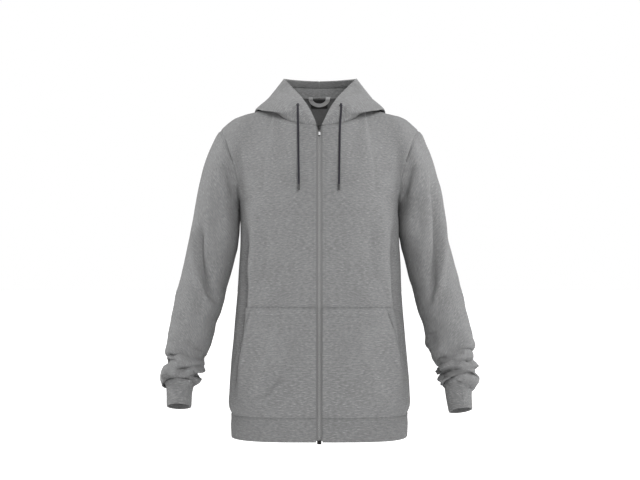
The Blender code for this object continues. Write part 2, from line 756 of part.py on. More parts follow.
# Trims -------------------------------------------------------------------------------

def on_panel(panel, row, column):
    """A point on the outer side of a panel between its rows and columns, and the
    direction out of it."""
    outer, _ = panel.layers()
    found = []
    for values in (outer, panel.normals):
        r, c = int(row), int(column)
        fr, fc = row - r, column - c
        low = values[r, c] * (1 - fc) + values[r, c + 1] * fc
        high = values[r + 1, c] * (1 - fc) + values[r + 1, c + 1] * fc
        found.append(low * (1 - fr) + high * fr)
    return found[0], unit(found[1])


def add_eyelets(hood, material):
    """A small ring on each half of the hood, where the drawcord comes out."""
    spot, out = on_panel(hood, EYELET_ROW, EYELET_COLUMN)
    turn = np.linspace(0.0, 2 * math.pi, 16, endpoint=False)
    circle = np.stack([np.cos(turn), np.sin(turn)], axis=-1)
    for name, side in SIDES:
        ring = pierced_plate("eyelet_" + name, EYELET_RADIUS * circle, EYELET_HOLE * circle,
                             -EYELET_THICKNESS, 0.0, material)
        facing = Vector((side * out[0], out[1], out[2]))
        ring.rotation_euler = facing.to_track_quat("-Y", "Z").to_euler()
        ring.location = Vector((side * spot[0], spot[1], spot[2])) + facing * 0.0006


def add_drawcords(material):
    """The free ends of the drawcord, hanging from the eyelets down the chest."""
    for name, route in (("left", CORD_LEFT), ("right", CORD_RIGHT)):
        route = np.array(route)
        span = np.linalg.norm(np.diff(route, axis=0), axis=1)
        keys = np.concatenate(([0.0], np.cumsum(span)))
        count = int(round(keys[-1] / (2.2 * CORD_DIAMETER)))
        points = smooth(keys, route, np.linspace(0.0, keys[-1], count + 1))
        curve = bpy.data.curves.new("drawcord_" + name, "CURVE")
        curve.dimensions = "3D"
        curve.bevel_depth = 0.5 * CORD_DIAMETER
        curve.bevel_resolution = 2
        curve.use_fill_caps = True
        spline = curve.splines.new("POLY")
        spline.points.add(len(points) - 1)
        for target, point in zip(spline.points, points):
            target.co = (*point, 1.0)
        curve.materials.append(material)
        cord = bpy.data.objects.new("drawcord_" + name, curve)
        bpy.context.collection.objects.link(cord)


def inside_back(back, x, z, gap):
    """A point inside the back, off its inner side."""
    rows = range(-YOKE_ROWS, 0)
    found = []
    for values in (back.grid, back.normals):
        cut = [[np.interp(x, back.grid[row, :, 0], values[row, :, axis]) for axis in range(3)]
               for row in rows]
        heights = [np.interp(x, back.grid[row, :, 0], back.grid[row, :, 2]) for row in rows]
        found.append([np.interp(z, heights, [point[axis] for point in cut])
                      for axis in range(3)])
    return np.array([x, found[0][1], z]) - unit(np.array(found[1])) * gap


def add_label(back, cloth):
    """A plain woven label, sewn in at the nape."""
    heights = np.linspace(LABEL_BOTTOM, LABEL_TOP, 4)
    grid = np.array([[inside_back(back, x, z, 0.0018) for x in (-0.0180, 0.0, 0.0180)]
                     for z in heights])
    add_panel(Panel("neck_label", grid, 0.0006), cloth)


def add_hanger_loop(back, cloth):
    """A flat tape that hangs in a U from the nape, in front of the label."""
    rows = []
    for turn in np.linspace(0.0, math.pi, 13):
        row = []
        for half_width, drop in ((0.0235, 0.0190), (0.0125, 0.0115)):
            x = half_width * math.cos(turn)
            z = LOOP_TOP - drop * math.sin(turn)
            row.append(inside_back(back, x, z, 0.0030))
        rows.append(row)
    add_panel(Panel("hanger_loop", np.array(rows), 0.0008), cloth)


# Materials and assembly --------------------------------------------------------------

def material(name, colour, roughness, metallic=0.0):
    made = bpy.data.materials.new(name)
    made.use_nodes = True
    shader = made.node_tree.nodes["Principled BSDF"]
    shader.inputs["Base Color"].default_value = (*colour, 1.0)
    shader.inputs["Roughness"].default_value = roughness
    shader.inputs["Metallic"].default_value = metallic
    return made


def clear_scene():
    for item in list(bpy.data.objects):
        bpy.data.objects.remove(item, do_unlink=True)


def main():
    clear_scene()
    jersey = material("heather_jersey", (0.26, 0.26, 0.265), 0.95)
    ribbing = material("heather_rib", (0.245, 0.245, 0.25), 0.95)
    tape_cloth = material("zip_tape_cloth", (0.24, 0.24, 0.245), 0.85)
    dark_metal = material("dark_nickel", (0.06, 0.06, 0.065), 0.35, 1.0)
    cord_cloth = material("navy_cord", (0.024, 0.023, 0.028), 0.85)
    label_cloth = material("black_label", (0.012, 0.012, 0.013), 0.8)
    loop_cloth = material("loop_tape", (0.27, 0.27, 0.275), 0.9)

    front, back, sleeves, cuffs, band, hood = body_panels()
    add_pair(front, jersey)
    add_panel(back, jersey)
    add_pair(hood, jersey)
    add_pair(pocket_panel(front), jersey)
    add_panel(band, ribbing)
    for (_, side), sleeve, cuff in zip(SIDES, sleeves, cuffs):
        for panel, cloth in ((sleeve, jersey), (cuff, ribbing)):
            if side < 0:
                panel.grid = mirrored(panel.grid)
                panel.normals = mirrored(panel.normals)
                panel.flip = False
            add_panel(panel, cloth)

    tape = tape_panel(front, band)
    add_pair(tape, tape_cloth)
    place, lean = slider_frame(tape)
    add_slider(place, lean, dark_metal)
    add_pull(place, lean, dark_metal)
    add_zip_box(tape, dark_metal)
    add_eyelets(hood, dark_metal)
    add_drawcords(cord_cloth)
    add_label(back, label_cloth)
    add_hanger_loop(back, loop_cloth)


main()
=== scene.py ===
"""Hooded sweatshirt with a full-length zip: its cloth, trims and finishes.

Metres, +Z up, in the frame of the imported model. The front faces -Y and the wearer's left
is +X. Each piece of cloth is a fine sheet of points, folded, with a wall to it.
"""
import math

import bmesh
import bpy
import numpy as np
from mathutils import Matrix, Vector


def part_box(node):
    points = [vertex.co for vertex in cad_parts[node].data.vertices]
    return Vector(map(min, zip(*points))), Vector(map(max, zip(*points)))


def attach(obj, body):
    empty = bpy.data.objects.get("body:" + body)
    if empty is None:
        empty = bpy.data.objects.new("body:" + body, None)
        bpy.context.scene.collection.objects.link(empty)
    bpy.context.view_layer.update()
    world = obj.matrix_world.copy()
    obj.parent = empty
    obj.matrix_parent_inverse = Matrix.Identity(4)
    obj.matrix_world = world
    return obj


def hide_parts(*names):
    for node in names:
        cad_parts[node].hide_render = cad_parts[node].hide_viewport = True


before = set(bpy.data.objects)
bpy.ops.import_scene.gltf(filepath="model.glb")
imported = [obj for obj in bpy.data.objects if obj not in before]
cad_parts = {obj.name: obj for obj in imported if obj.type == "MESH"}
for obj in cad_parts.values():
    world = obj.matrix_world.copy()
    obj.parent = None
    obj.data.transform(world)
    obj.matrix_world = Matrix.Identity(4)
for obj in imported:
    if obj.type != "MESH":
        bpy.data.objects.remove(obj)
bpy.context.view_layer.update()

MM = 1000.0              # millimetres to a metre


def table(names, *rows):
    """A table as one array for each named column. Lengths are written in millimetres."""
    plain = ("round", "share", "corner")
    return {name: values / (1.0 if name in plain else MM)
            for name, values in zip(names.split(), np.array(rows, dtype=float).T)}


# Cloth and seams
JERSEY = 0.0016          # wall of the fleece-backed jersey
DOUBLED = 0.0028         # wall of a piece that is folded double
TAPE = 0.0010            # zip tape
SEAM = 0.0003            # gap between two pieces at a seam

# Rows and columns of the fine sheets
POCKET_COLUMNS = 60      # from the zip to the pocket's opening edge
SIDE_COLUMNS = 30        # from there to the side seam
POCKET_ROWS = 75         # from the hem seam to the pocket's top edge
WAIST_ROWS = 66          # from there to the chest line
YOKE_ROWS = 70           # from the chest line to the neck and shoulder
HALF_COLUMNS = POCKET_COLUMNS + SIDE_COLUMNS
NECK_COLUMNS = HALF_COLUMNS // 2
CAP_ROWS = 30            # rings of a sleeve from the armhole to its first section
ARM_ROWS = 132           # rings from there to the cuff
CUFF_ROWS = 22
BAND_ROWS = 18
HOOD_CELLS = (8, 16, 28, 30, 26)   # between neck, stand, lower, fold, upper and edge

# Heights
CHEST_LINE = -0.240      # underarm points
POCKET_TOP = -0.4405
HEM_SEAM = -0.6645
HEM_BOTTOM = -0.7150

# Body below the underarms: level sections, flat in front with round sides
BODY = table(
    "height half_width front back corner",
    (-715, 187.2, -131, 130, 3.3),  # bottom edge of the hem band
    (-690, 188.2, -131.2, 130.2, 3.3),
    (-664.5, 188, -131.2, 130.2, 3.3),  # hem seam
    (-652, 192.2, -134.5, 133, 3.3),  # the cloth blouses over the band
    (-620, 192.5, -134.5, 132.5, 3.2),
    (-560, 189, -132, 129, 3.1),
    (-500, 183, -128, 123.5, 3),
    (-440.5, 177.5, -125, 119, 3),  # top edge of the pocket
    (-370, 172.2, -123.5, 118, 3),
    (-300, 169, -124, 121.5, 3),
    (-240, 166.5, -122.5, 124.5, 3),  # chest line
)

# Neck seam from the zip (0) past the high shoulder point (1) to the nape (2)
NECK = table(
    "round x y z",
    (0, 6.5, -95, -64),
    (0.12, 24, -93, -60.3),
    (0.25, 44.5, -87.5, -57.5),
    (0.5, 73.5, -69, -46.5),
    (0.75, 88.5, -38, -24.5),
    (1, 88.5, -3, -6),
    (1.25, 82, 27, 0),
    (1.5, 62, 47, 4.5),
    (1.75, 33, 57.5, 6.5),
    (2, 0, 60, 7),
)

# Shoulder seam from the high shoulder point (0) to the shoulder point (1)
SHOULDER = table(
    "share x y z",
    (0, 88.5, -3, -6),
    (0.2, 109, -1.5, -20.5),
    (0.4, 135, 0, -28.5),
    (0.6, 160.7, 0, -34.2),
    (0.8, 185, 0, -44.2),
    (1, 211, 0, -67),
)

# How a column of a yoke leaves the chest line (rise) and meets the neck or shoulder
# seam (fall), from the centre (0) to the armhole (1)
FRONT_YOKE = table(
    "share rise_x rise_y rise_z fall_x fall_y fall_z",
    (0, 0, 1, 60, 0, -13, -45),
    (0.25, -4, 0, 60, 6, -23, -40),
    (0.5, -8, -6, 80, 12, -56, -12),
    (0.75, -2, -22, 75, 4, -70, -10),
    (1, -2, -66, 45, -25, -100, -36),
)
BACK_YOKE = table(
    "share rise_x rise_y rise_z fall_x fall_y fall_z",
    (0, 0, 0, 70, 0, 35, -30),
    (0.25, -2, 0, 70, 5, 38, -28),
    (0.5, -6, 6, 80, 12, 56, -16),
    (0.75, -2, 20, 75, 4, 68, -12),
    (1, -2, 66, 45, -25, 98, -36),
)

# Opening edge of the pocket: its distance from the zip's edge, measured on the cloth,
# as a share of the way to the side seam. Above the pocket the panel's columns spread
# evenly again.
POCKET_EDGE = table(
    "height share",
    (-664.5, 0.72),
    (-640, 0.742),
    (-605, 0.745),
    (-555, 0.725),
    (-500, 0.68),
    (-440.5, 0.59),
    (-360, 0.64),
    (-240, 0.667),
)

# Sleeves below the armhole: level sections down the arm. Out and fore are the middle
# of the section, away from the body and forwards.
SLEEVE_LEFT = table(
    "height out fore half_width half_depth",
    (-312, 226.2, 0, 51.2, 70),
    (-360, 238.4, 4, 51.2, 67),
    (-411, 252.5, 12, 51.2, 64),
    (-461, 261.9, 24, 50.7, 61),
    (-511, 274.4, 40, 49.2, 58),  # below the elbow, bent forwards
    (-522, 276.5, 45, 46.5, 56),
    (-543, 280, 52, 40.5, 51),
    (-562, 288.8, 58, 42.5, 53),  # first bunch of cloth
    (-573, 286.2, 62, 37, 47),
    (-593, 292, 67, 42.5, 52),  # second bunch
    (-600, 291.5, 71, 37, 46),
    (-603, 289.5, 72, 29, 39),  # cuff seam
)
SLEEVE_RIGHT = table(
    "height out fore half_width half_depth",
    (-312, 228.6, 0, 52, 70),
    (-360, 239.7, 4, 51.2, 67),
    (-411, 254, 12, 51.2, 64),
    (-461, 263.8, 24, 49.7, 61),
    (-511, 273.5, 40, 47.3, 57),
    (-536, 279, 49, 42.5, 53),
    (-550.5, 279.4, 53, 35.8, 47),
    (-569, 285.4, 59, 43.6, 53),  # first bunch of cloth
    (-583, 294.5, 64, 37, 47),
    (-594, 291, 68, 42.5, 52),  # second bunch
    (-599, 291, 70, 29, 39),  # cuff seam
)
CUFF_LEFT = table(
    "height out fore half_width half_depth",
    (-603, 289.5, 72, 29, 39),
    (-620, 290.2, 77, 26.6, 38),
    (-654, 294, 86, 24, 37),  # wrist edge
)
CUFF_RIGHT = table(
    "height out fore half_width half_depth",
    (-599, 291, 70, 29, 39),
    (-614, 291.4, 75, 25.8, 38),
    (-646, 291.4, 84, 24.8, 37),  # wrist edge
)

# Hood, pushed back. At each station round the neck its cloth runs from the neck seam
# over the points below to its face edge.
HOOD = table(
    "round stand_x stand_y stand_z lower_x lower_y lower_z fold_x fold_y fold_z "
    "upper_x upper_y upper_z edge_x edge_y edge_z",
    (0, 6.5, -95.4, -63.2, 6.5, -95.9, -62.4, 6.5, -96.2, -61.5,
     6.4, -96.4, -60.7, 6.2, -96.5, -60),
    (0.25, 44.3, -88.9, -54.5, 42, -88.9, -50, 35.5, -86, -43,
     29, -79, -34.5, 21.5, -66, -26.5),
    (0.5, 75.5, -72, -44, 78, -76.5, -40.5, 77.5, -83.5, -37.5, 62, -61, -13, 38.5, -36, 0),
    (0.75, 95, -40.5, -18.5, 106, -44, -23.5, 117, -49, -28, 92, -26, 1, 58, -6, 22.5),
    (1, 96, -2, 2.5, 117, -3, -16, 138, -3, -24, 111, 13, 5, 77.5, 22, 44.8),
    (1.25, 90, 33, 5, 119, 45, -21, 138, 50, -48, 118, 70, -6, 78, 56, 49),
    (1.5, 69, 58, 7, 96, 88, -47, 113, 102, -106, 100, 125, -32, 60, 88, 50.5),
    (1.75, 37, 75, 7, 54, 113, -76, 63, 137, -168, 55, 159, -66, 32, 111, 51),
    (2, 0, 79, 7.5, 0, 119, -86, 0, 147, -195, 0, 170, -80, 0, 119, 50.8),
)

# Zip and trims
ZIP_EDGE = 0.0065        # from the middle to the cloth's edge
TAPE_INNER = 0.0155      # inner edge of a tape, behind the front
TAPE_BOTTOM = -0.7105
CASING = 0.024           # the hood's edge, turned in to carry the cord
CASING_BACK = 0.0145     # and at the nape
HOOD_LEAN = 0.045        # how much narrower its right half lies
SEAM_TAPE = 0.0060       # half of the tape over the hood's centre seam
CORD_DIAMETER = 0.0045
CORD_TIP = 0.012         # dipped end of a drawcord
CORD_LEFT = np.array((
    (45.5, -69.7, -16.4), (45.8, -79.7, -22.8), (45, -89, -36), (43.5, -95, -54),
    (42.5, -101, -78), (41.8, -112, -110), (41.2, -122, -150), (40.5, -127, -198))) / MM
CORD_RIGHT = np.array((
    (-44.6, -69.7, -16.4), (-44.6, -79.7, -22.8), (-44.3, -89, -36), (-44, -95, -54),
    (-43.6, -101, -78), (-43, -112, -110), (-42.4, -122, -150), (-41.8, -127, -198))) / MM

PULL_AXIS = (0.0, -0.09834, -0.06757)   # where the pull tab turns
ZIP_LEAN = 0.2484        # the zip's slope back at the slider
PULL_BRIGHT = (-0.0838, -0.0768)        # heights where the pull tab is left bright
FLOOR = -1.45            # level of the floor under a standing wearer
SKY = 0.55               # brightness of the studio overhead, beside its white walls
LAMPS = (
    ("left", (3.0, 0.4, 1.9), 1.0, 112.0),
    ("right", (-3.0, 0.4, 1.9), 1.0, 104.0),
    ("front", (0.8, -3.3, 1.5), 1.4, 98.0),
)
CAMERA = (0.0015, -3.18, -0.3005)
SENSOR = 36.0
FOCAL_PIXELS = 1490.0
PHOTO_WIDTH = 640

# Folds, drawn in millimetres across and up the garment. Depth is negative in a trough,
# width is how far it spreads, and lip is the roll beside it: on the left of the way the
# points run where it is positive.
FRONT_FOLDS = (
    # wearer's right sleeve
    (-3, 13, 0, ((-242, -150), (-245, -217), (-248, -262))),
    (-11, 8, -0.6, ((-248, -255), (-249, -290), (-247, -344), (-240, -373), (-234, -398),
        (-224, -423), (-209, -442))),
    (3.5, 13, 0, ((-234, -215), (-229, -290), (-225, -321), (-216, -352))),
    (-6, 8, 0.6, ((-197, -130), (-188, -165), (-179, -200), (-174, -222))),
    (3, 9, 0, ((-206, -140), (-201, -180), (-195, -215))),
    (-4, 8, 0.4, ((-280, -505), (-270, -517), (-255, -529), (-238, -536))),
    (-3.5, 6, 0.5, ((-311, -530), (-300, -545), (-284, -560), (-270, -562))),
    (-6.5, 4.5, 0.6, ((-299, -569), (-280, -565), (-262, -562), (-243, -566))),
    (-6.5, 4.5, 0.5, ((-298, -577), (-275, -572), (-257, -576), (-240, -585))),
    (3, 7, 0, ((-300, -556), (-280, -552), (-260, -552), (-246, -555))),
    # wearer's left sleeve
    (-11, 8, 0.6, ((239, -140), (244, -217), (247, -275), (245, -332), (241, -369),
        (233, -415), (222, -449))),
    (3.5, 13, 0, ((222, -180), (222, -250), (219, -320), (214, -380))),
    (-6, 8, -0.6, ((196, -130), (187, -165), (178, -200), (173, -222))),
    (3, 9, 0, ((204, -140), (199, -180), (193, -215))),
    (-5, 10, 0, ((228, -488), (236, -512), (246, -532))),
    (-3.5, 6, -0.5, ((250, -556), (265, -543), (283, -534), (302, -533))),
    (-3, 6, 0, ((270, -562), (290, -552), (305, -550))),
    (-7.5, 4.5, 0.6, ((240, -589), (258, -575), (274, -568), (297, -570))),
    (-4, 5, 0.5, ((300, -545), (310, -553), (322, -556))),
    (3, 7, 0, ((262, -590), (285, -583), (308, -586))),
    # where the front turns to the side
    (5.5, 9, 0, ((-147, -300), (-142, -404), (-144, -455), (-151, -500), (-161, -579),
        (-166, -640))),
    (-10, 9, 0, ((-154, -250), (-157, -330), (-155, -390), (-158, -440), (-164, -500),
        (-173, -570), (-179, -640))),
    (5.5, 9, 0, ((148, -330), (144, -400), (150, -440), (156, -500), (163, -560),
        (169, -640))),
    (-9, 9, 0, ((154, -250), (158, -330), (156, -385), (160, -440), (168, -510), (175, -570),
        (180, -640))),
    # chest and waist
    (3.6, 12, 0, ((-137, -215), (-134, -300), (-138, -400))),
    (-2.8, 13, 0, ((-117, -240), (-113, -330), (-120, -410))),
    (2.8, 13, 0, ((133, -225), (131, -300), (136, -400))),
    (-2.4, 14, 0, ((110, -250), (107, -330), (112, -410))),
    (-1.8, 12, 0, ((-158, -232), (-132, -205), (-100, -185))),
    (-1.8, 12, 0, ((157, -230), (130, -205), (102, -190))),
    (1.5, 16, 0, ((-60, -230), (-68, -330), (-64, -430))),
    (1.3, 16, 0, ((58, -250), (64, -340), (58, -430))),
    # beside the pocket's opening
    (-5, 4, 0, ((-137, -438), (-147, -470), (-158, -515), (-165, -550))),
    (-5, 4, 0, ((138, -438), (148, -470), (159, -515), (166, -550))),
    # over the pocket
    (5.5, 12, 0, ((-76, -462), (-93, -526), (-117, -577), (-148, -632))),
    (-3, 11, 0, ((-60, -520), (-88, -585), (-124, -645))),
    (3.6, 8, 0, ((-68, -588), (-102, -622), (-135, -652))),
    (1.8, 14, 0, ((80, -470), (95, -540), (125, -610))),
    (-1.6, 12, 0, ((60, -560), (90, -610), (130, -648))),
)
BACK_FOLDS = (
    # sleeves
    (-5.5, 9, 0.5, ((-246, -180), (-250, -260), (-247, -340), (-236, -410), (-222, -450))),
    (-5, 9, -0.5, ((245, -170), (249, -270), (246, -350), (234, -420), (220, -455))),
    (-4, 7, 0.5, ((-303, -470), (-278, -480), (-250, -500), (-232, -520))),
    (-4, 7, -0.5, ((304, -480), (280, -492), (255, -512), (235, -530))),
    (-5, 5, 0.6, ((-316, -556), (-290, -566), (-262, -565), (-242, -574))),
    (-5, 5, -0.6, ((318, -552), (292, -562), (262, -566), (242, -578))),
    (-4.5, 9, 0, ((-190, -140), (-182, -180), (-175, -210))),
    (-4.5, 9, 0, ((190, -140), (182, -180), (175, -210))),
    # sides and back
    (3, 13, 0, ((-148, -310), (-147, -420), (-158, -520), (-168, -630))),
    (3, 13, 0, ((149, -320), (146, -410), (157, -510), (168, -630))),
    (-3.5, 9, 0, ((-161, -270), (-160, -370), (-165, -470))),
    (-3.5, 9, 0, ((161, -270), (161, -380), (166, -480))),
    (-3, 14, 0, ((-150, -250), (-110, -290), (-60, -315))),
    (-3, 14, 0, ((148, -245), (105, -280), (50, -310))),
    (2.6, 15, 0, ((-95, -330), (-85, -430), (-98, -540))),
    (2.6, 15, 0, ((88, -340), (92, -450), (84, -560))),
    (-2.4, 15, 0, ((-30, -350), (-22, -450), (-34, -570))),
    (-2.4, 14, 0, ((38, -330), (30, -440), (40, -560))),
    (-3, 10, 0.4, ((-150, -560), (-100, -592), (-40, -606), (20, -600))),
    (-2.6, 10, -0.4, ((150, -570), (110, -604), (60, -622), (0, -628))),
)

# Swells and hollows of the outline down each side of the body and the outer and inner
# side of each sleeve
OUTLINE = table(
    "height right_outer right_inner left_inner left_outer right_side left_side",
    (-60, 0, 0, 0, 0, 0, 0),
    (-76, -1.5, 0, 0, -0.5, 0, 0),
    (-95, -2.4, 0, 0, -3.3, 0, 0),
    (-113, -1.5, 0, 0, -2.3, 0, 0),
    (-138, 0, 0, 0, -0.6, 0, 0),
    (-165, 1, 0, 0, 0.8, 0, 0),
    (-200, 1.9, 0, 0, 1.2, 0, 0),
    (-238, 1.5, 4, 5, 0.4, -1, 0),
    (-250, 1, 7, 9, 0.2, -1.2, 0.3),
    (-263, 0.4, 7, 9.5, 0, -1.5, 0.6),
    (-285, 0.2, 6.5, 7.6, 0, -1.6, 0.6),
    (-300, 0.2, 4.6, 3.4, 0, -1.6, 0.6),
    (-325, 0, 3.2, 0, 0.5, -1.6, 0.9),
    (-363, -0.5, 3, 0, 0.5, -1.4, 0.4),
    (-388, -1.5, 3, 1, -1, -1.4, -0.6),
    (-400, -2.6, 2.6, 0, -1, -1.4, -1),
    (-413, -1, 4, 0, 0, -1.5, -1.2),
    (-425, 0.6, 5.6, 0, 1, -1.5, -1.3),
    (-450, 1.8, 4, -0.4, 1.8, -1.6, -1.5),
    (-475, 1.7, 1.4, -4, 0.8, -1.7, -1.8),
    (-500, 2.5, 1.6, -0.8, 4.5, -2.2, -2.2),
    (-526, 2.8, -0.6, 5.5, 5, -2.7, -2.7),
    (-539, 4, 1, 4, -1.8, -2.7, -2.7),
    (-551, -0.2, 1, 6, -8, -2.7, -2.7),
    (-564, 3.5, 7, 2.5, 3.5, -2.7, -2.7),
    (-576, 0.1, 6, -4.2, -5, -2.7, -2.8),
    (-583, 0.6, -7, -1, -1, -2.7, -2.8),
    (-591, 1.6, 6, 7, 3, -2.7, -2.8),
    (-600, 0.3, 2, -0.5, 2.6, -2.7, -2.9),
    (-606, 0, 0, 0, 0, -2.7, -2.9),
    (-611, 0, 0, 0, 0, -2.7, -2.9),
    (-640, 0, 0, 0, 0, -2.7, -2.9),
    (-715, 0, 0, 0, 0, -2.7, -2.9),
)

SIDES = (("left", 1), ("right", -1))
HOOD_LINES = ("stand", "lower", "fold", "upper", "edge")

# Edges that roll into a seam, and how deep and wide they roll
ROLLED = {"front": "first last right", "back": "first last left right", "hem": "first",
          "hood": "left last", "sleeve": "first last", "cuff": "first"}
SEAM_ROLL = (0.0009, 0.0022)
ARMHOLE_ROLL = (0.0024, 0.0034)

# Which way a sleeve's rings leave the armhole: under the arm, over it, and between
LEAVE_UNDER = np.array([0.90, 0.0, -0.45])
LEAVE_OVER = np.array([0.66, 0.0, -0.75])
LEAVE_MIDDLE = np.array([0.25, 0.0, 0.25])
LEAVE_FRONT = np.array([0.0, -0.25, 0.0])

POCKET_HEM = 0.0175      # row of stitches beside the pocket's free edges
BESIDE_SEAM = 0.0045     # row of stitches beside a seam
BESIDE_HEM = 0.0040      # and beside the hem band's
STITCH_PITCH = 0.0034
TOOTH_PITCH = 0.0016
TOOTH_MIDDLE = 0.0011    # from the zip's middle to the middle of a tooth
TEETH_TOP = -0.0645
EYELET_RADIUS = 0.0029   # of a ring's middle; then half its width and its height
EYELET_WIDTH, EYELET_RISE = 0.0007, 0.0006
LOOP_OUTER, LOOP_INNER = (0.0235, 0.0180), (0.0145, 0.0108)   # half width and drop
LOOP_TOP = 0.0088
RIB_PITCH, RIB_DEPTH = 0.0026, 0.00022
CLOTH_CREASE, METAL_CREASE = 60, 35      # sharpest smooth edges, in degrees
TAPE_COLUMNS = (0.5 * SEAM, 0.0022, 0.0045, ZIP_EDGE, 0.009, 0.012, TAPE_INNER)

# Seams on each side: their name, the piece that carries the stitches, its edge, the
# distance from it and whether they are on the inner side
STITCHED = (
    ("zip", "front", "left", 0.0062, False),
    ("pocket", "pocket", "right", POCKET_HEM, False),
    ("pocket", "pocket", "right", 0.0015, False),
    ("pocket", "pocket", "last", POCKET_HEM, False),
    ("pocket", "pocket", "last", 0.0015, False),
    ("armhole", "sleeve", "first", BESIDE_SEAM, False),
    ("cuff", "sleeve", "last", 0.0035, False),
    ("hood", "hood", "right", CASING - 0.0015, False),
    ("hood", "hood", "last", 0.0030, False),
    ("hood", "hood", "last", 0.0058, True),
)

# Outlines on the zip: the slider, its pull tab and the tab's hole
SLIDER = np.array((
    (-2.6, -5.8), (2.6, -5.8), (3.9, 1.8), (3.6, 4.8), (-3.6, 4.8), (-3.9, 1.8))) / MM
PULL_TAB = np.array((
    (-2.1, -19), (2.1, -19), (2.4, -12), (1.7, 0.6), (-1.7, 0.6), (-2.4, -12))) / MM
PULL_HOLE = np.array((
    (-1, -5.8), (1, -5.8), (1.2, -3), (1.1, -0.6), (-1.1, -0.6), (-1.2, -3))) / MM


# Curves and surfaces -----------------------------------------------------------------

def smooth(keys, values, at):
    """Values between the rows of a table, on a smooth curve through them."""
    order = np.argsort(keys)
    keys = np.asarray(keys)[order]
    values = np.asarray(values)[order]
    at = np.clip(at, keys[0], keys[-1])
    slopes = np.gradient(values, keys, axis=0)
    cell = np.clip(np.searchsorted(keys, at, side="right") - 1, 0, len(keys) - 2)
    span = keys[cell + 1] - keys[cell]
    part = (at - keys[cell]) / span
    if values.ndim > 1:
        span = span[..., None]
        part = part[..., None]
    rest = 1.0 - part
    start = rest * rest * (values[cell] * (1 + 2 * part) + slopes[cell] * span * part)
    end = part * part * (values[cell + 1] * (1 + 2 * rest) - slopes[cell + 1] * span * rest)
    return start + end


def read(rows, names, at):
    """Some columns of a table at values of its first column, side by side."""
    values = np.stack([rows[name] for name in names.split()], axis=-1)
    return smooth(next(iter(rows.values())), values, at)


def distances(points):
    """How far along a line of points each of them lies."""
    return np.concatenate(([0.0], np.cumsum(np.linalg.norm(np.diff(points, axis=0), axis=1))))


def between(at, keys, values):
    """Rows of values with keys of their own, read between the keys."""
    return np.stack([np.interp(at, keys, column) for column in np.transpose(values)], axis=-1)


def unit(vectors):
    return vectors / np.maximum(np.linalg.norm(vectors, axis=-1, keepdims=True), 1e-12)


def bezier(start, rise, fall, end, share):
    """Points of cubic curves, one curve for each row of the four points."""
    t = np.asarray(share)[:, None, None]
    s = 1.0 - t
    return s**3 * start + 3 * s * s * t * rise + 3 * s * t * t * fall + t**3 * end


def level_row(height, shares, first_x, behind=False):
    """Points of a quarter of the body at a height. A share of 0 is first_x off the
    centre and 1 is the side."""
    half_width, front, back, corner = read(BODY, "half_width front back corner",
                                           np.array(height))
    step = np.linspace(0.0, 1.0, 241)
    angle = 0.5 * math.pi * step * step * (3 - 2 * step)
    depth = (back if behind else front) * np.clip(np.cos(angle), 0, 1) ** (2 / corner)
    section = np.stack([half_width * np.sin(angle) ** (2 / corner), depth,
                        np.full(len(angle), height)], axis=1)
    length = distances(section)
    first = np.interp(first_x, section[:, 0], length)
    return between(first + np.asarray(shares) * (length[-1] - first), length, section)


def pocket_shares(height):
    """Where a front's columns lie at a height: one of them follows the pocket's edge."""
    edge = smooth(POCKET_EDGE["height"], POCKET_EDGE["share"], np.array(height))
    inner = np.linspace(0.0, edge, POCKET_COLUMNS + 1)
    outer = np.linspace(edge, 1.0, SIDE_COLUMNS + 1)
    return np.concatenate([inner, outer[1:]])


def body_heights():
    pocket = np.linspace(HEM_SEAM, POCKET_TOP, POCKET_ROWS + 1)
    waist = np.linspace(POCKET_TOP, CHEST_LINE, WAIST_ROWS + 1)
    return np.concatenate([pocket, waist[1:]])


def top_edge(start):
    """Neck seam from a station of it, then shoulder seam: a yoke's top ends."""
    neck = read(NECK, "x y z", np.linspace(start, 1.0, NECK_COLUMNS + 1))
    shares = np.linspace(0.0, 1.0, HALF_COLUMNS - NECK_COLUMNS + 1)
    return np.concatenate([neck, read(SHOULDER, "x y z", shares)[1:]])


def yoke(chest_row, top, offsets):
    """Columns from the chest line over the chest or back to the neck and shoulder."""
    shares = np.linspace(0.0, 1.0, len(chest_row))
    rise = read(offsets, "rise_x rise_y rise_z", shares)
    fall = read(offsets, "fall_x fall_y fall_z", shares)
    rows = np.linspace(0.0, 1.0, YOKE_ROWS + 1)
    return bezier(chest_row, chest_row + rise, top + fall, top, rows)


def front_grid():
    """The wearer's left front, from the zip to the side, hem seam to neck."""
    lower = np.array([level_row(height, pocket_shares(height), ZIP_EDGE)
                      for height in body_heights()])
    return np.concatenate([lower, yoke(lower[-1], top_edge(0.0), FRONT_YOKE)[1:]])


def back_grid():
    """The back, from its right side to its left side."""
    shares = np.linspace(0.0, 1.0, HALF_COLUMNS + 1)
    lower = np.array([level_row(height, shares, 0.0, True) for height in body_heights()])
    half = np.concatenate([lower, yoke(lower[-1], top_edge(2.0), BACK_YOKE)[1:]])
    return np.concatenate([mirrored(half)[:, :0:-1], half], axis=1)


def mirrored(grid):
    return grid * np.array([-1.0, 1.0, 1.0])


def arm_rings(sections, heights, count):
    """Oval rings square to the arm's run. A ring starts at its side by the body and
    goes round by the front."""
    out, fore, half_width, half_depth = read(
        sections, "out fore half_width half_depth", heights).T
    centre = np.stack([out, -fore, heights], axis=-1)
    run = unit(np.gradient(centre, axis=0))
    side = unit(np.array([1.0, 0.0, 0.0]) - run * run[:, :1])
    ahead = np.cross(run, side)
    ahead = ahead * np.sign(-ahead[:, 1:2])
    turn = np.linspace(0.0, 2 * math.pi, count, endpoint=False)[None, :, None]
    width = (half_width * np.abs(run[:, 2]))[:, None, None]
    across = -np.cos(turn) * side[:, None]
    along = np.sin(turn) * ahead[:, None]
    return centre[:, None] + width * across + half_depth[:, None, None] * along, run


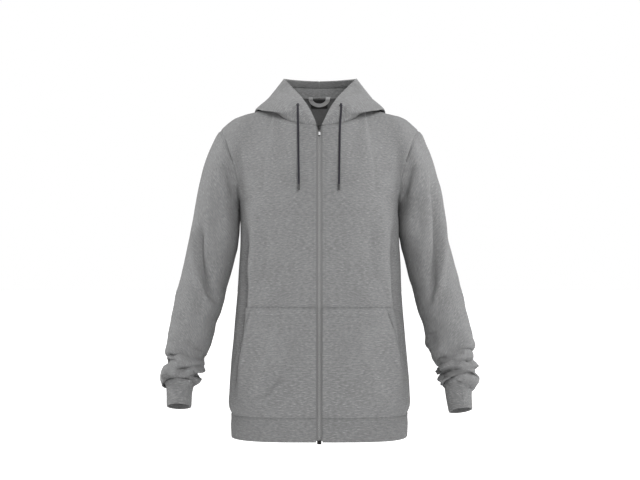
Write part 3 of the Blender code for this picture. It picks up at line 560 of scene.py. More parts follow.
def sleeve_grid(armhole, sections):
    """A sleeve of the left side, from its armhole ring down to the cuff seam."""
    count = len(armhole)
    shares = np.linspace(0.0, 1.0, ARM_ROWS + 1)
    shares = 0.6 * shares + 0.4 * (1.0 - (1.0 - shares)**2)    # finer towards the wrist
    top, bottom = sections["height"].max(), sections["height"].min()
    rings, run = arm_rings(sections, top + (bottom - top) * shares, count)
    turn = np.linspace(0.0, 2 * math.pi, count, endpoint=False)[:, None]
    over = 0.5 - 0.5 * np.cos(turn)
    leave = ((1.0 - over) * LEAVE_UNDER + over * LEAVE_OVER
             + (1.0 - np.abs(np.cos(turn))) * LEAVE_MIDDLE + np.sin(turn) * LEAVE_FRONT)
    reach = np.linalg.norm(rings[0] - armhole, axis=1)[:, None]
    rise = armhole + unit(leave) * reach * 0.26
    fall = rings[0] - run[0] * reach * 0.33
    cap = bezier(armhole, rise, fall, rings[0], np.linspace(0.0, 1.0, CAP_ROWS + 1))
    return np.concatenate([cap[:-1], rings])


def hood_grid():
    """The left half of the hood, a row for each station from the zip to the nape."""
    stations = np.linspace(0.0, 2.0, 2 * NECK_COLUMNS + 1)
    knots = [read(HOOD, f"{line}_x {line}_y {line}_z", stations) for line in HOOD_LINES]
    points = np.stack([read(NECK, "x y z", stations), *knots], axis=1)
    rows = []
    for section in points:
        keys = distances(section)
        at = [np.linspace(keys[i], keys[i + 1], cells, endpoint=False)
              for i, cells in enumerate(HOOD_CELLS)]
        rows.append(smooth(keys, section, np.concatenate(at + [keys[-1:]])))
    grid = np.array(rows)
    grid[-1, :, 0] = 0.1 * SEAM
    return grid


# Folds ---------------------------------------------------------------------------------

def ease(values, start, end):
    """0 before start, 1 after end and a smooth rise between."""
    share = np.clip((values - start) / (end - start), 0.0, 1.0)
    return share * share * (3 - 2 * share)


def stroke(points, line):
    """How far points lie to the left of a drawn line, and how far along it they are."""
    keys = distances(line)
    line = smooth(keys, line, np.linspace(0.0, keys[-1], 24))
    keys = distances(line)
    nearest = np.full(len(points), 1e9)
    left, along = np.zeros((2, len(points)))
    for start, end, key in zip(line, line[1:], keys):
        length = np.linalg.norm(end - start)
        run = (end - start) / length
        away = points - start
        at = np.clip(away @ run, 0.0, length)
        gap = np.linalg.norm(away - at[:, None] * run, axis=1)
        closer = gap < nearest
        nearest = np.where(closer, gap, nearest)
        side = np.sign(run[0] * away[:, 1] - run[1] * away[:, 0])
        left = np.where(closer, side * gap, left)
        along = np.where(closer, (key + at) / keys[-1], along)
    return left, along


def folds(flat, drawn):
    """Height of drawn folds, in millimetres, at points given across and up."""
    height = np.zeros(len(flat))
    for depth, width, lip, line in drawn:
        line = np.array(line, dtype=float)
        reach = 3.2 * width
        near = np.all((flat > line.min(axis=0) - reach) & (flat < line.max(axis=0) + reach),
                      axis=1)
        if not near.any():
            continue
        left, along = stroke(flat[near], line)
        shape = depth * np.exp(-(left / width) ** 2)
        if lip:
            roll = (math.copysign(1.0, lip) * left - 1.5 * width) / (1.1 * width)
            shape = shape + abs(lip * depth) * np.exp(-roll ** 2)
        height[near] += shape * ease(along, 0.0, 0.22) * (1.0 - ease(along, 0.78, 1.0))
    return height


def ripple(points, seed, size, count=14):
    """A smooth, even swell of about -1 to 1. Size is its wavelength along each axis."""
    draw = np.random.default_rng(seed)
    turns = unit(draw.normal(size=(count, 3))) * 2 * math.pi / np.array(size)
    phases = draw.uniform(0, 2 * math.pi, count)
    return np.sin(points @ turns.T + phases).sum(axis=1) / math.sqrt(count)


def outline(points, normals):
    """Height of the outline's swells and hollows."""
    height = np.zeros(len(points))
    for side, sign in SIDES:
        off, away = sign * points[:, 0], sign * normals[:, 0]
        arm = ease(off, 0.200, 0.210)
        below = ease(off, 0.10, 0.12) * (1.0 - arm) * ease(-points[:, 2], 0.22, 0.26)
        for part, where in (("_outer", ease(away, 0.2, 0.8) * arm),
                            ("_inner", ease(-away, 0.2, 0.8) * ease(off, 0.150, 0.160)),
                            ("_side", ease(away, 0.3, 0.9) * below)):
            height += where * smooth(OUTLINE["height"], OUTLINE[side + part], points[:, 2])
    return height


def relief(points, normals):
    """How far the cloth stands proud of its plain form. Neighbours share it at seams."""
    flat = points[:, [0, 2]] * MM
    facing, down = -normals[:, 1], -points[:, 2]
    arm = ease(np.abs(points[:, 0]), 0.19, 0.22)
    wrist = arm * ease(down, 0.49, 0.53) * (1.0 - ease(down, 0.596, 0.606))
    elbow = arm * ease(down, 0.33, 0.40) * (1.0 - ease(down, 0.46, 0.52))
    height = 1.25 * folds(flat, FRONT_FOLDS) * ease(facing, -0.15, 0.35)
    height += 1.25 * folds(flat, BACK_FOLDS) * ease(-facing, -0.15, 0.35)
    for share, seed, size in ((0.9, 11, (0.10, 0.10, 0.24)), (0.35, 12, (0.045, 0.045, 0.08)),
                              (1.7 * wrist, 13, (0.09, 0.09, 0.024)),
                              (1.2 * elbow, 14, (0.07, 0.07, 0.045))):
        height += share * ripple(points, seed, size)
    return height / MM + outline(points, normals)


# Sheets and their walls ------------------------------------------------------------------

def lengths(grid, axis):
    """Distance along each row (axis 1) or column (axis 0) of a grid."""
    steps = np.linalg.norm(np.diff(grid, axis=axis), axis=2)
    start = np.zeros_like(np.take(steps, [0], axis=axis))
    return np.concatenate([start, np.cumsum(steps, axis=axis)], axis=axis)


class Panel:
    """A piece of cloth: a fine grid of points on its middle, thickened both ways."""

    def __init__(self, name, grid, wall, flip=False, tube=False):
        self.name = name
        self.grid = np.array(grid)
        self.wall = wall
        self.tube = tube
        self.flip = flip
        self.turn_normals()

    def turn_normals(self):
        """Directions out of the cloth, from its points."""
        if self.tube:
            across = np.roll(self.grid, -1, axis=1) - np.roll(self.grid, 1, axis=1)
        else:
            across = np.gradient(self.grid, axis=1)
        normals = np.cross(across, np.gradient(self.grid, axis=0))
        self.normals = unit(-normals if self.flip else normals)

    def raise_by(self, height):
        """Moves each point out by its own height."""
        self.grid = self.grid + self.normals * np.asarray(height)[..., None]

    def measure(self):
        """Distances from the first row and column, in metres on the cloth."""
        grid = self.grid
        if self.tube:
            grid = np.concatenate([grid, grid[:, :1]], axis=1)
        return lengths(grid, 1), lengths(grid, 0)

    def from_edge(self, edge):
        """Distance of every point from an edge, on the cloth."""
        across, up = (way[:, :self.grid.shape[1]] for way in self.measure())
        return {"first": up, "last": up[-1:] - up,
                "left": across, "right": across[:, -1:] - across}[edge]

    def roll_edge(self, edge, depth, width):
        """Sinks an edge into its seam, and puckers the cloth beside it."""
        away = self.from_edge(edge)
        gather = ripple(self.grid.reshape(-1, 3), 5, (0.016, 0.016, 0.016), 10)
        beside = np.exp(-((away - 0.005) / 0.004) ** 2)
        self.raise_by(0.00025 * gather.reshape(away.shape) * beside
                      - depth * np.exp(-(away / width) ** 2))

    def trim(self, edge, gap):
        """Moves an edge back towards the row or column beside it."""
        row, beside = (0, 1) if edge in ("first", "left") else (-1, -2)
        grid = self.grid if edge in ("first", "last") else self.grid.transpose(1, 0, 2)
        grid[row] += unit(grid[beside] - grid[row]) * gap

    def layers(self):
        half = 0.5 * self.wall * self.normals
        return self.grid + half, self.grid - half

    def mirror(self):
        """The same piece on the other side of the garment."""
        self.grid = mirrored(self.grid)
        self.normals = mirrored(self.normals)
        self.flip = not self.flip


def share(seams, what):
    """Two pieces that meet at a seam get one line there, or one direction out."""
    for _ in range(8):
        for one, one_edge, other, other_edge in seams:
            first, second = getattr(one, what), getattr(other, what)
            mean = 0.5 * (first[one_edge] + second[other_edge])
            first[one_edge] = second[other_edge] = unit(mean) if what == "normals" else mean


def wall_mesh(name, panel, outside, inside):
    """A closed wall from a panel: outer sheet, inner sheet and the rims between them.
    The map named cloth holds metres on the cloth."""
    rows, count = panel.grid.shape[:2]
    across, up = panel.measure()
    a, b = np.arange(rows - 1), np.arange(count if panel.tube else count - 1)
    r, c = (way.ravel() for way in np.meshgrid(a, b, indexing="ij"))
    top, right = np.full_like(b, rows - 1), np.full_like(a, count - 1)
    rims = [(0 * b, b, 0 * b, b + 1), (top, b + 1, top, b)]
    if not panel.tube:
        rims += [(a + 1, 0 * a, a, 0 * a), (a, right, a + 1, right)]
    faces = [[(r, c, 0), (r, c + 1, 0), (r + 1, c + 1, 0), (r + 1, c, 0)],
             [(r + 1, c, 1), (r + 1, c + 1, 1), (r, c + 1, 1), (r, c, 1)]]
    faces += [[(r0, c0, 0), (r0, c0, 1), (r1, c1, 1), (r1, c1, 0)] for r0, c0, r1, c1 in rims]
    quads, cloth, slots = [], [], []
    for kind, face in enumerate(faces):
        step = 0.0 if kind < 2 else 0.0005
        quads.append(np.stack([(layer * rows + x) * count + y % count
                               for x, y, layer in face], axis=1))
        cloth.append(np.stack([np.stack([across[x, y], up[x, y] + step * layer], axis=1)
                               for x, y, layer in face], axis=1))
        slots.append(np.full(len(quads[-1]), int(kind == 1)))
    quads, cloth, slots = (np.concatenate(values) for values in (quads, cloth, slots))
    if panel.flip:
        quads, cloth = quads[:, ::-1], cloth[:, ::-1]
    mesh = bpy.data.meshes.new(name)
    mesh.vertices.add(2 * rows * count)
    mesh.vertices.foreach_set("co", np.stack(panel.layers()).ravel())
    mesh.loops.add(quads.size)
    mesh.loops.foreach_set("vertex_index", quads.ravel())
    mesh.polygons.add(len(quads))
    mesh.polygons.foreach_set("loop_start", np.arange(0, quads.size, 4))
    mesh.polygons.foreach_set("material_index", slots)
    mesh.update(calc_edges=True)
    mesh.uv_layers.new(name="cloth").data.foreach_set("uv", cloth.ravel())
    for material in (outside, inside):
        mesh.materials.append(material)
    smooth_shaded(mesh, CLOTH_CREASE)
    mesh.validate()
    return mesh


def smooth_shaded(mesh, crease):
    """Smooth shading, but for edges sharper than an angle in degrees."""
    mesh.shade_smooth()
    mesh.set_sharp_from_angle(angle=math.radians(crease))


def put(name, mesh):
    piece = bpy.data.objects.new(name, mesh)
    bpy.context.scene.collection.objects.link(piece)
    return piece


def stand_in(piece, node, body="garment"):
    """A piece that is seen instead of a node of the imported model."""
    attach(piece, body)
    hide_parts(node)
    return piece


# Body, sleeves and hood ------------------------------------------------------------------

def band_grid():
    """The hem band, from the left edge at the zip round the back to the right edge."""
    rows = []
    for height in np.linspace(HEM_SEAM, HEM_BOTTOM, BAND_ROWS + 1):
        front = level_row(height, pocket_shares(HEM_SEAM), ZIP_EDGE)
        shares = np.linspace(1.0, 0.0, HALF_COLUMNS + 1)
        back = level_row(height, shares, 0.0, True)
        half = np.concatenate([front, back[1:]])
        rows.append(np.concatenate([half, mirrored(half)[-2::-1]]))
    return np.array(rows)


def ring_of(front, back, chest):
    """The armhole: up the front from the underarm point and down the back."""
    return np.concatenate([front[chest:, -1], back[-2:chest:-1, -1]])


def plain_panels():
    """The pieces of the left half in their plain form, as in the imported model."""
    chest = POCKET_ROWS + WAIST_ROWS
    front = Panel("front_left", front_grid(), JERSEY)
    back = Panel("back", back_grid(), JERSEY, flip=True)
    armhole = ring_of(front.grid, back.grid, chest)
    hood = Panel("hood_left", hood_grid(), JERSEY, flip=True)
    band = Panel("hem_band", band_grid(), DOUBLED, flip=True)
    arms = []
    for side, sections, ends in (("left", SLEEVE_LEFT, CUFF_LEFT),
                                 ("right", SLEEVE_RIGHT, CUFF_RIGHT)):
        sleeve = Panel("sleeve_" + side, sleeve_grid(armhole, sections), JERSEY, True, True)
        heights = np.linspace(ends["height"].max(), ends["height"].min(), CUFF_ROWS + 1)
        rings, _ = arm_rings(ends, heights, len(armhole))
        rings[0] = sleeve.grid[-1]
        arms.append((sleeve, Panel("cuff_" + side, rings, DOUBLED, True, True)))
    return front, back, hood, band, arms


def seams_of(front, back, sleeve, cuff, band, hood, left):
    """Where the pieces of one side meet."""
    chest = POCKET_ROWS + WAIST_ROWS
    half = HALF_COLUMNS
    ring = sleeve.grid.shape[1]
    top = ring // 2
    outer, side = (-1, 1) if left else (0, -1)
    shoulder = half + side * np.arange(NECK_COLUMNS, half + 1)
    nape = half + side * np.arange(0, NECK_COLUMNS + 1)
    back_half = half + side * np.arange(half, -1, -1)
    band_front, band_back = np.arange(0, half + 1), np.arange(half, 2 * half + 1)
    if not left:
        band_front, band_back = 4 * half - band_front, 4 * half - band_back
    return [
        (front, np.s_[:chest + 1, -1], back, np.s_[:chest + 1, outer]),
        (front, np.s_[-1, NECK_COLUMNS:], back, (-1, shoulder)),
        (front, np.s_[-1, :NECK_COLUMNS + 1], hood, np.s_[:NECK_COLUMNS + 1, 0]),
        (back, (-1, nape), hood, np.s_[:NECK_COLUMNS - 1:-1, 0]),
        (band, (0, band_front), front, np.s_[0, :]),
        (band, (0, band_back), back, (0, back_half)),
        (front, np.s_[chest:, -1], sleeve, (0, np.arange(0, top + 1))),
        (back, np.s_[:chest - 1:-1, outer], sleeve, (0, np.arange(top, ring + 1) % ring)),
        (sleeve, np.s_[-1], cuff, np.s_[0]),
    ]


def settle(panels, seams, hoods):
    """Closes the seams, and directions out agree across them and at the hood's centre."""
    if panels:
        share(seams, "grid")
    for panel in panels:
        panel.turn_normals()
    share(seams, "normals")
    for hood in hoods:
        hood.normals[-1, :, 0] = 0.0
        hood.normals[-1] = unit(hood.normals[-1])


def folded_panels():
    """Every piece with its folds and rolled seams, by name."""
    front, back, hood, band, arms = plain_panels()
    fronts = [front, Panel("front_right", front.grid, JERSEY)]
    hoods = [hood, Panel("hood_right", hood.grid, JERSEY, flip=True)]
    (sleeve_left, cuff_left), (sleeve_right, cuff_right) = arms
    draw = ease(np.arange(hood.grid.shape[1]), 30.0, 75.0)
    hoods[1].grid[..., 0] *= 1.0 - HOOD_LEAN * draw
    for panel in (fronts[1], hoods[1], sleeve_right, cuff_right):
        panel.mirror()
    seams = seams_of(front, back, sleeve_left, cuff_left, band, hoods[0], True)
    seams += seams_of(fronts[1], back, sleeve_right, cuff_right, band, hoods[1], False)
    panels = [*fronts, back, *hoods, band, sleeve_left, sleeve_right, cuff_left, cuff_right]
    settle([], seams, hoods)
    for panel in panels:
        height = relief(panel.grid.reshape(-1, 3), panel.normals.reshape(-1, 3))
        calm = 0.6 if panel.name.startswith("hood") else 1.0
        panel.raise_by(calm * height.reshape(panel.grid.shape[:2]))
    settle(panels, seams, hoods)
    for panel in panels:
        kind = panel.name.split("_")[0]
        for edge in ROLLED[kind].split():
            armhole = (kind, edge) in (("sleeve", "first"), ("front", "right"))
            panel.roll_edge(edge, *(ARMHOLE_ROLL if armhole else SEAM_ROLL))
    settle(panels, seams, hoods)
    for panel in panels:
        kind = panel.name.split("_")[0]
        if kind == "hood":
            panel.grid[-1, :, 0] = 0.1 * SEAM * (1 if panel is hood else -1)
            panel.trim("left", SEAM / 3)
            continue
        for edge in ROLLED[kind].split():
            panel.trim(edge, SEAM / (2 if (kind, edge) == ("sleeve", "first") else 6))
    return {panel.name: panel for panel in panels}


def inner_strip(panel, name):
    """The hood's edge turned in: a strip on its inner side, narrower towards the nape."""
    away = panel.from_edge("right")[:, ::-1]
    widths = CASING + (CASING_BACK - CASING) * ease(np.linspace(0.0, 2.0, len(away)), 0.8, 1.6)
    grid, normals = (
        np.array([between(np.linspace(width, 0.0008, 12), away[row], values[row, ::-1])
                  for row, width in enumerate(widths)])
        for values in (panel.grid, panel.normals))
    normals = unit(normals)
    strip = Panel(name, grid - normals * (JERSEY + SEAM), JERSEY, panel.flip)
    strip.normals = normals
    return strip


def seam_tape(left, right):
    """The tape over the hood's centre seam, inside, from the casing down to the nape."""
    away = left.from_edge("right")[-1]
    keep = np.flatnonzero(away > CASING_BACK + 0.0010)
    rows = []
    for column in keep[keep > sum(HOOD_CELLS[:3])]:
        row = []
        for x in np.linspace(-SEAM_TAPE, SEAM_TAPE, 9):
            hood = left if x > 0 else right
            offs = np.abs(hood.grid[:-16:-1, column, 0])
            point, normal = (between(abs(x), offs, values[:-16:-1, column])
                             for values in (hood.grid, hood.normals))
            point[0], normal[0] = x, 0.0
            row.append(point - unit(normal) * (0.5 * JERSEY + SEAM + 0.5 * TAPE))
        rows.append(row)
    return Panel("hood_seam_tape", np.array(rows), TAPE, left.flip)


def pocket_panel(front, side):
    """Half of the kangaroo pocket: the front's own points, moved out, a little fuller in
    the middle and loose at the opening."""
    part = np.s_[:POCKET_ROWS + 1, :POCKET_COLUMNS + 1]
    grid = front.grid[part] + front.normals[part] * (JERSEY + SEAM)
    pocket = Panel("pocket_" + side, grid, JERSEY, front.flip)
    pocket.normals = front.normals[part].copy()
    up = np.linspace(0, 1, POCKET_ROWS + 1)[:, None]
    across = np.linspace(0, 1, POCKET_COLUMNS + 1)[None, :]
    full = np.sin(math.pi * up) * np.sin(0.5 * math.pi * (across + up * 0.2))
    opening = ease(across, 0.75, 1.0) * np.sin(math.pi * ease(up, 0.05, 0.95))
    edge = np.minimum(pocket.from_edge("right"), pocket.from_edge("last"))
    hem = 0.0007 * (1 - ease(edge, 0.016, 0.019))
    stitched = np.exp(-((edge - POCKET_HEM) / 0.0012) ** 2)
    pocket.raise_by(0.0014 * full + 0.0040 * opening + hem - 0.0005 * stitched)
    pocket.turn_normals()
    return pocket


# Zip and trims -----------------------------------------------------------------------------

def tape_panel(front, band, name, side):
    """A zip tape, behind the edges of the front and of the hem band."""
    end = 0 if side > 0 else -1
    low = band.grid[::-1, end] - band.normals[::-1, end] * 0.5 * (DOUBLED + 2 * SEAM + TAPE)
    low[0, 2] = TAPE_BOTTOM
    edge = front.grid[1:, 0]
    high = edge - front.normals[1:, 0] * 0.5 * (JERSEY + 2 * SEAM + TAPE)
    line = np.concatenate([low[:-1], high])
    line[1:-1, 1] = 0.5 * (line[1:-1, 1] + 0.5 * (line[:-2, 1] + line[2:, 1]))
    slope = front.grid[1:, 3] - edge
    slope = slope / np.abs(slope[:, :1])
    slope = np.concatenate([np.repeat(slope[:1], len(low) - 1, axis=0), slope])
    cols = []
    for x in TAPE_COLUMNS:
        point = line + slope * max(x - ZIP_EDGE, 0.0)
        point[:, 0] = side * x
        cols.append(point)
    return Panel(name, np.stack(cols, axis=1), TAPE, side < 0)


def inside_back(back, x, z, gap):
    """A point inside the back, off its inner side."""
    rows = range(-YOKE_ROWS, 0)
    cuts = [[between(x, back.grid[row, :, 0], values[row]) for row in rows]
            for values in (back.grid, back.normals)]
    heights = [point[2] for point in cuts[0]]
    point, normal = (between(z, heights, cut) for cut in cuts)
    return np.array([x, point[1], z]) - unit(normal) * gap


def label_panel(back):
    grid = [[inside_back(back, x, z, 0.0018) for x in np.linspace(-0.0180, 0.0180, 19)]
            for z in np.linspace(-0.0125, 0.0050, 10)]
    return Panel("neck_label", grid, 0.0006)


def loop_panel(back):
    sizes = np.linspace(LOOP_OUTER, LOOP_INNER, 5)
    grid = [[inside_back(back, half_width * math.cos(turn), LOOP_TOP - drop * math.sin(turn),
                         0.0030) for half_width, drop in sizes]
            for turn in np.linspace(0.0, math.pi, 37)]
    return Panel("hanger_loop", grid, 0.0008)


# Node trees ------------------------------------------------------------------------------

class Socket:
    """A value in a node tree. Sums on it add Math nodes."""

    def __init__(self, tree, socket):
        self.tree = tree
        self.socket = socket

    def sum(self, operation, other, swap=False):
        pair = (other, self) if swap else (self, other)
        return self.tree.math(operation, *pair)

    def __add__(self, other):
        return self.sum("ADD", other)

    def __sub__(self, other):
        return self.sum("SUBTRACT", other)

    def __rsub__(self, other):
        return self.sum("SUBTRACT", other, swap=True)

    def __mul__(self, other):
        return self.sum("MULTIPLY", other)

    def __truediv__(self, other):
        return self.sum("DIVIDE", other)

    __radd__ = __add__
    __rmul__ = __mul__


class Tree:
    """A node tree. Every node in it comes from one method."""

    def __init__(self, tree):
        self.tree = tree

    def node(self, kind, settings=None, sockets=None, out=0):
        made = self.tree.nodes.new(kind)
        for name, value in (settings or {}).items():
            setattr(made, name, value)
        for key, value in (sockets or {}).items():
            if isinstance(value, Socket):
                self.tree.links.new(value.socket, made.inputs[key])
            else:
                made.inputs[key].default_value = value
        return Socket(self, made.outputs[out]) if made.outputs else made

    def math(self, operation, *values):
        return self.node("ShaderNodeMath", {"operation": operation}, dict(enumerate(values)))

    def wave(self, value, pitch):
        """A sine of -1 to 1 with its pitch in metres."""
        return self.math("SINE", value * (2 * math.pi / pitch))

    def clamp(self, value, low, high):
        """0 at low and below, 1 at high and above."""
        return self.node("ShaderNodeMapRange", {"interpolation_type": "SMOOTHSTEP"},
                         {"Value": value, "From Min": low, "From Max": high})

    def noise(self, vector, size, turn=0.0, detail=2.0, roughness=0.5):
        """Noise of 0 to 1. Size is its grain in metres along the cloth's map."""
        placed = self.node("ShaderNodeMapping", {}, {
            "Vector": vector, "Rotation": (0.0, 0.0, turn),
            "Scale": (1 / size[0], 1 / size[1], 1 / size[-1])})
        return self.node("ShaderNodeTexNoise", {}, {
            "Vector": placed, "Scale": 1.0, "Detail": detail, "Roughness": roughness})

    def mix(self, factor, first, second):
        """A colour between two colours, or two greys."""
        ends = (grey(end) if isinstance(end, float) else end for end in (first, second))
        return self.node("ShaderNodeMix", {"data_type": "RGBA"},
                         dict(zip((0, 6, 7), (factor, *ends))), out=2)

    def axes(self, vector):
        split = self.node("ShaderNodeSeparateXYZ", {}, {0: vector})
        return [Socket(self, output) for output in split.socket.node.outputs]


def grey(value, warmth=0.0):
    return (value * (1 + warmth), value, value * (1 - warmth), 1.0)


class Finish(Tree):
    """A material: constants sit on its shader's own sockets."""

    def __init__(self, name, **constants):
        self.material = bpy.data.materials.new(name)
        self.material.use_nodes = True
        super().__init__(self.material.node_tree)
        self.shader = self.tree.nodes["Principled BSDF"]
        for key, value in constants.items():
            self.shader.inputs[key.replace("_", " ")].default_value = value

    def feed(self, socket, value):
        self.tree.links.new(value.socket, self.shader.inputs[socket])

    def shade(self, factor, dark, light):
        self.feed("Base Color", self.mix(factor, dark, light))

    def bump(self, height, distance):
        self.feed("Normal", self.node("ShaderNodeBump", {}, {
            "Strength": 1.0, "Distance": distance, "Height": height}))

    def cloth(self):
        return self.node("ShaderNodeUVMap", {"uv_map": "cloth"})

    def place(self):
        return self.node("ShaderNodeTexCoord", out=3)

    def cloud(self, grain, detail=2.0):
        """Even noise through the piece."""
        return self.noise(self.place(), (grain, grain, grain), detail=detail)


# Finishes ----------------------------------------------------------------------------------

JERSEY_DARK, JERSEY_LIGHT = 0.112, 0.245
WALE, COURSE = 0.0013, 0.0011        # knit loops across and up


def heather(name, tone=1.0):
    """Marled jersey: pale slubs run along the courses of a grey ground of small
    V-shaped loops."""
    finish = Finish(name, Roughness=0.95, Specular_IOR_Level=0.25, Sheen_Weight=0.06,
                    Sheen_Roughness=0.6)
    uv = finish.cloth()
    slub = finish.noise(uv, (0.0085, 0.0022), turn=0.20, detail=3.0, roughness=0.62)
    fleck = finish.noise(uv, (0.0080, 0.0022), turn=0.22, detail=1.0)
    broad = finish.noise(uv, (0.055, 0.040), detail=1.0)
    pale = finish.clamp(fleck, 0.58, 0.74)
    share = finish.clamp(slub + broad * 0.16 - 0.08, 0.28, 0.78)
    finish.shade(share * 0.54 + pale * 0.42 + 0.05, grey(JERSEY_DARK * tone),
                 grey(JERSEY_LIGHT * tone, -0.01))
    grain = finish.noise(uv, (0.0011, 0.0009))
    across, up, _ = finish.axes(uv)
    column = finish.wave(across, WALE)
    loop = finish.math("SINE", up * (2 * math.pi / COURSE) + column * 1.2)
    finish.bump(column * 0.5 + loop * 0.35 + grain * 1.3 + slub * 1.2, 0.00014)
    finish.feed("Roughness", 0.9 + grain * 0.1)
    return finish.material


def fleece_back():
    """The brushed inner side of the jersey. Its grey is set darker than the face's: partly the
    fleece's own tone, partly painted shade for the inside of the garment.
    """
    finish = Finish("fleece_back", Specular_IOR_Level=0.2, Roughness=1.0, Sheen_Weight=0.05)
    uv = finish.cloth()
    tuft = finish.noise(uv, (0.0022, 0.0026), detail=4.0, roughness=0.7)
    broad = finish.noise(uv, (0.03, 0.04), detail=1.0)
    finish.shade(finish.clamp(tuft * 0.8 + broad * 0.3, 0.25, 0.85), 0.085, 0.13)
    finish.bump(tuft, 0.0005)
    return finish.material


def twill(name, dark, light, pitch):
    """A narrow woven tape with a herringbone of slanting ribs."""
    finish = Finish(name, Roughness=0.85, Specular_IOR_Level=0.3)
    across, up, _ = finish.axes(finish.cloth())
    fold = finish.math("PINGPONG", across, 6 * pitch)
    weave = finish.wave(up + fold, pitch) + finish.wave(up - fold, 0.5 * pitch) * 0.3
    finish.shade(finish.clamp(weave, -1.2, 1.2), dark, light)
    finish.bump(weave, 0.00012)
    return finish.material


def thread(name, value):
    """Sewing thread with a slight twist."""
    finish = Finish(name, Specular_IOR_Level=0.35, Roughness=0.7)
    finish.shade(finish.cloud(0.0006, 1.0), value * 0.8, value * 1.2)
    return finish.material


def metal(name, value, roughness, worn):
    """Plated metal with fine scratches. Worn is how much paler its rubbed spots are."""
    finish = Finish(name, Metallic=1.0)
    scratch = finish.noise(finish.place(), (0.0030, 0.0030, 0.00035), detail=3.0)
    rubbed = finish.clamp(finish.cloud(0.004) * 0.7 + scratch * 0.5, 0.35, 0.85)
    finish.shade(rubbed, value, value * (1 + worn))
    finish.feed("Roughness", scratch * 0.14 + (roughness - 0.05))
    finish.bump(scratch, 0.00002)
    return finish.material


def pull_finish():
    """A black pull tab with a bright middle."""
    finish = Finish("pull_tab_finish")
    _, _, height = finish.axes(finish.place())
    low, high = (finish.clamp(height, level - 0.0002, level + 0.0002) for level in PULL_BRIGHT)
    end = 1.0 - low + high
    cloud = finish.cloud(0.003)
    finish.shade(end, finish.mix(cloud, 0.20, 0.30), 0.012)
    finish.feed("Metallic", 1.0 - end)
    finish.feed("Roughness", cloud * 0.12 + end * 0.10 + 0.40)
    return finish.material


def braid():
    """Tight round braid of dark yarns."""
    finish = Finish("braided_cord", Roughness=0.8, Specular_IOR_Level=0.3)
    across, up, _ = finish.axes(finish.cloth())
    first = finish.wave(up / 0.0017 + across / 0.0035, 1.0)
    second = finish.wave(up / 0.0017 - across / 0.0035, 1.0)
    strand = finish.math("MAXIMUM", first, second)
    finish.shade(finish.clamp(strand, -0.6, 1.0), (0.004, 0.004, 0.006, 1),
                 (0.014, 0.013, 0.019, 1))
    finish.bump(strand, 0.00025)
    return finish.material


def moulded(name, grain, dark, light, roughness):
    """Smooth plastic, a little cloudy."""
    finish = Finish(name)
    cloud = finish.cloud(grain)
    finish.shade(cloud, dark, light)
    finish.feed("Roughness", cloud * 0.2 + roughness)
    return finish.material


def satin_label():
    """Plain black woven label."""
    finish = Finish("label_satin", Roughness=0.55)
    across, up, _ = finish.axes(finish.cloth())
    weave = finish.wave(across, 0.0007) * finish.wave(up, 0.0005)
    finish.shade(finish.clamp(weave, -1.0, 1.0), 0.008, 0.016)
    finish.bump(weave, 0.00005)
    return finish.material


def pale_floor():
    finish = Finish("studio_floor", Roughness=0.9, Emission_Strength=0.75)
    finish.shade(finish.cloud(0.8), 0.93, 0.96)
    x, y, _ = finish.axes(finish.place())
    # Far off the floor glows white: painted light that fades it into the white world.
    far = finish.clamp(x * x + y * y, 8.0, 18.0)
    finish.feed("Emission Color", finish.mix(far, 0.0, 1.0))
    return finish.material


# Things that repeat -------------------------------------------------------------------------

def group(name, *inputs):
    """A geometry tree with named inputs, and what reads them."""
    tree = bpy.data.node_groups.new(name, "GeometryNodeTree")
    tree.interface.new_socket("Geometry", in_out="OUTPUT", socket_type="NodeSocketGeometry")
    for title, kind in (("Geometry", "Geometry"), *inputs):
        tree.interface.new_socket(title, in_out="INPUT", socket_type="NodeSocket" + kind)
    made = Tree(tree)
    made.node("NodeGroupInput")
    entry = tree.nodes[-1]
    return made, {socket.name: Socket(made, socket) for socket in entry.outputs if socket.name}


def close_group(tree, geometry, material):
    whole = tree.node("GeometryNodeRealizeInstances", {}, {"Geometry": geometry})
    dressed = tree.node("GeometryNodeSetMaterial", {},
                        {"Geometry": whole, "Material": material})
    tree.node("NodeGroupOutput", {}, {"Geometry": dressed})


def row_tree():
    """Parts set along lines at an even pitch, lengthwise, with their tops out."""
    tree, given = group("row_of_parts", ("Part", "Object"), ("Pitch", "Float"),
                        ("Material", "Material"))
    line = tree.node("GeometryNodeMeshToCurve", {}, {"Mesh": given["Geometry"]})
    spots = tree.node("GeometryNodeResampleCurve", {"mode": "LENGTH"},
                      {"Curve": line, "Length": given["Pitch"]})
    turn = tree.node("FunctionNodeAxesToRotation",
                     {"primary_axis": "X", "secondary_axis": "Z"},
                     {"Primary Axis": tree.node("GeometryNodeInputTangent"),
                      "Secondary Axis": carried(tree, "out")})
    part = tree.node("GeometryNodeObjectInfo", {}, {"Object": given["Part"]}, out="Geometry")
    parts = tree.node("GeometryNodeInstanceOnPoints", {},
                      {"Points": spots, "Instance": part, "Rotation": turn})
    close_group(tree, parts, given["Material"])
    return tree.tree


def carried(tree, name, kind="FLOAT_VECTOR"):
    """Values that a mesh's points carry by name."""
    return tree.node("GeometryNodeInputNamedAttribute", {"data_type": kind}, {"Name": name})


def rib_tree():
    """Upright knitted ribs, pressed into a wall along its directions out."""
    tree, given = group("knit_ribs", ("Pitch", "Float"), ("Depth", "Float"),
                        ("Material", "Material"))
    turn = carried(tree, "across", "FLOAT") / given["Pitch"] * (2 * math.pi)
    move = tree.node("ShaderNodeVectorMath", {"operation": "SCALE"}, {
        0: carried(tree, "out"), "Scale": tree.math("SINE", turn) * given["Depth"]})
    ribs = tree.node("GeometryNodeSetPosition", {},
                     {"Geometry": given["Geometry"], "Offset": move})
    close_group(tree, ribs, given["Material"])
    return tree.tree


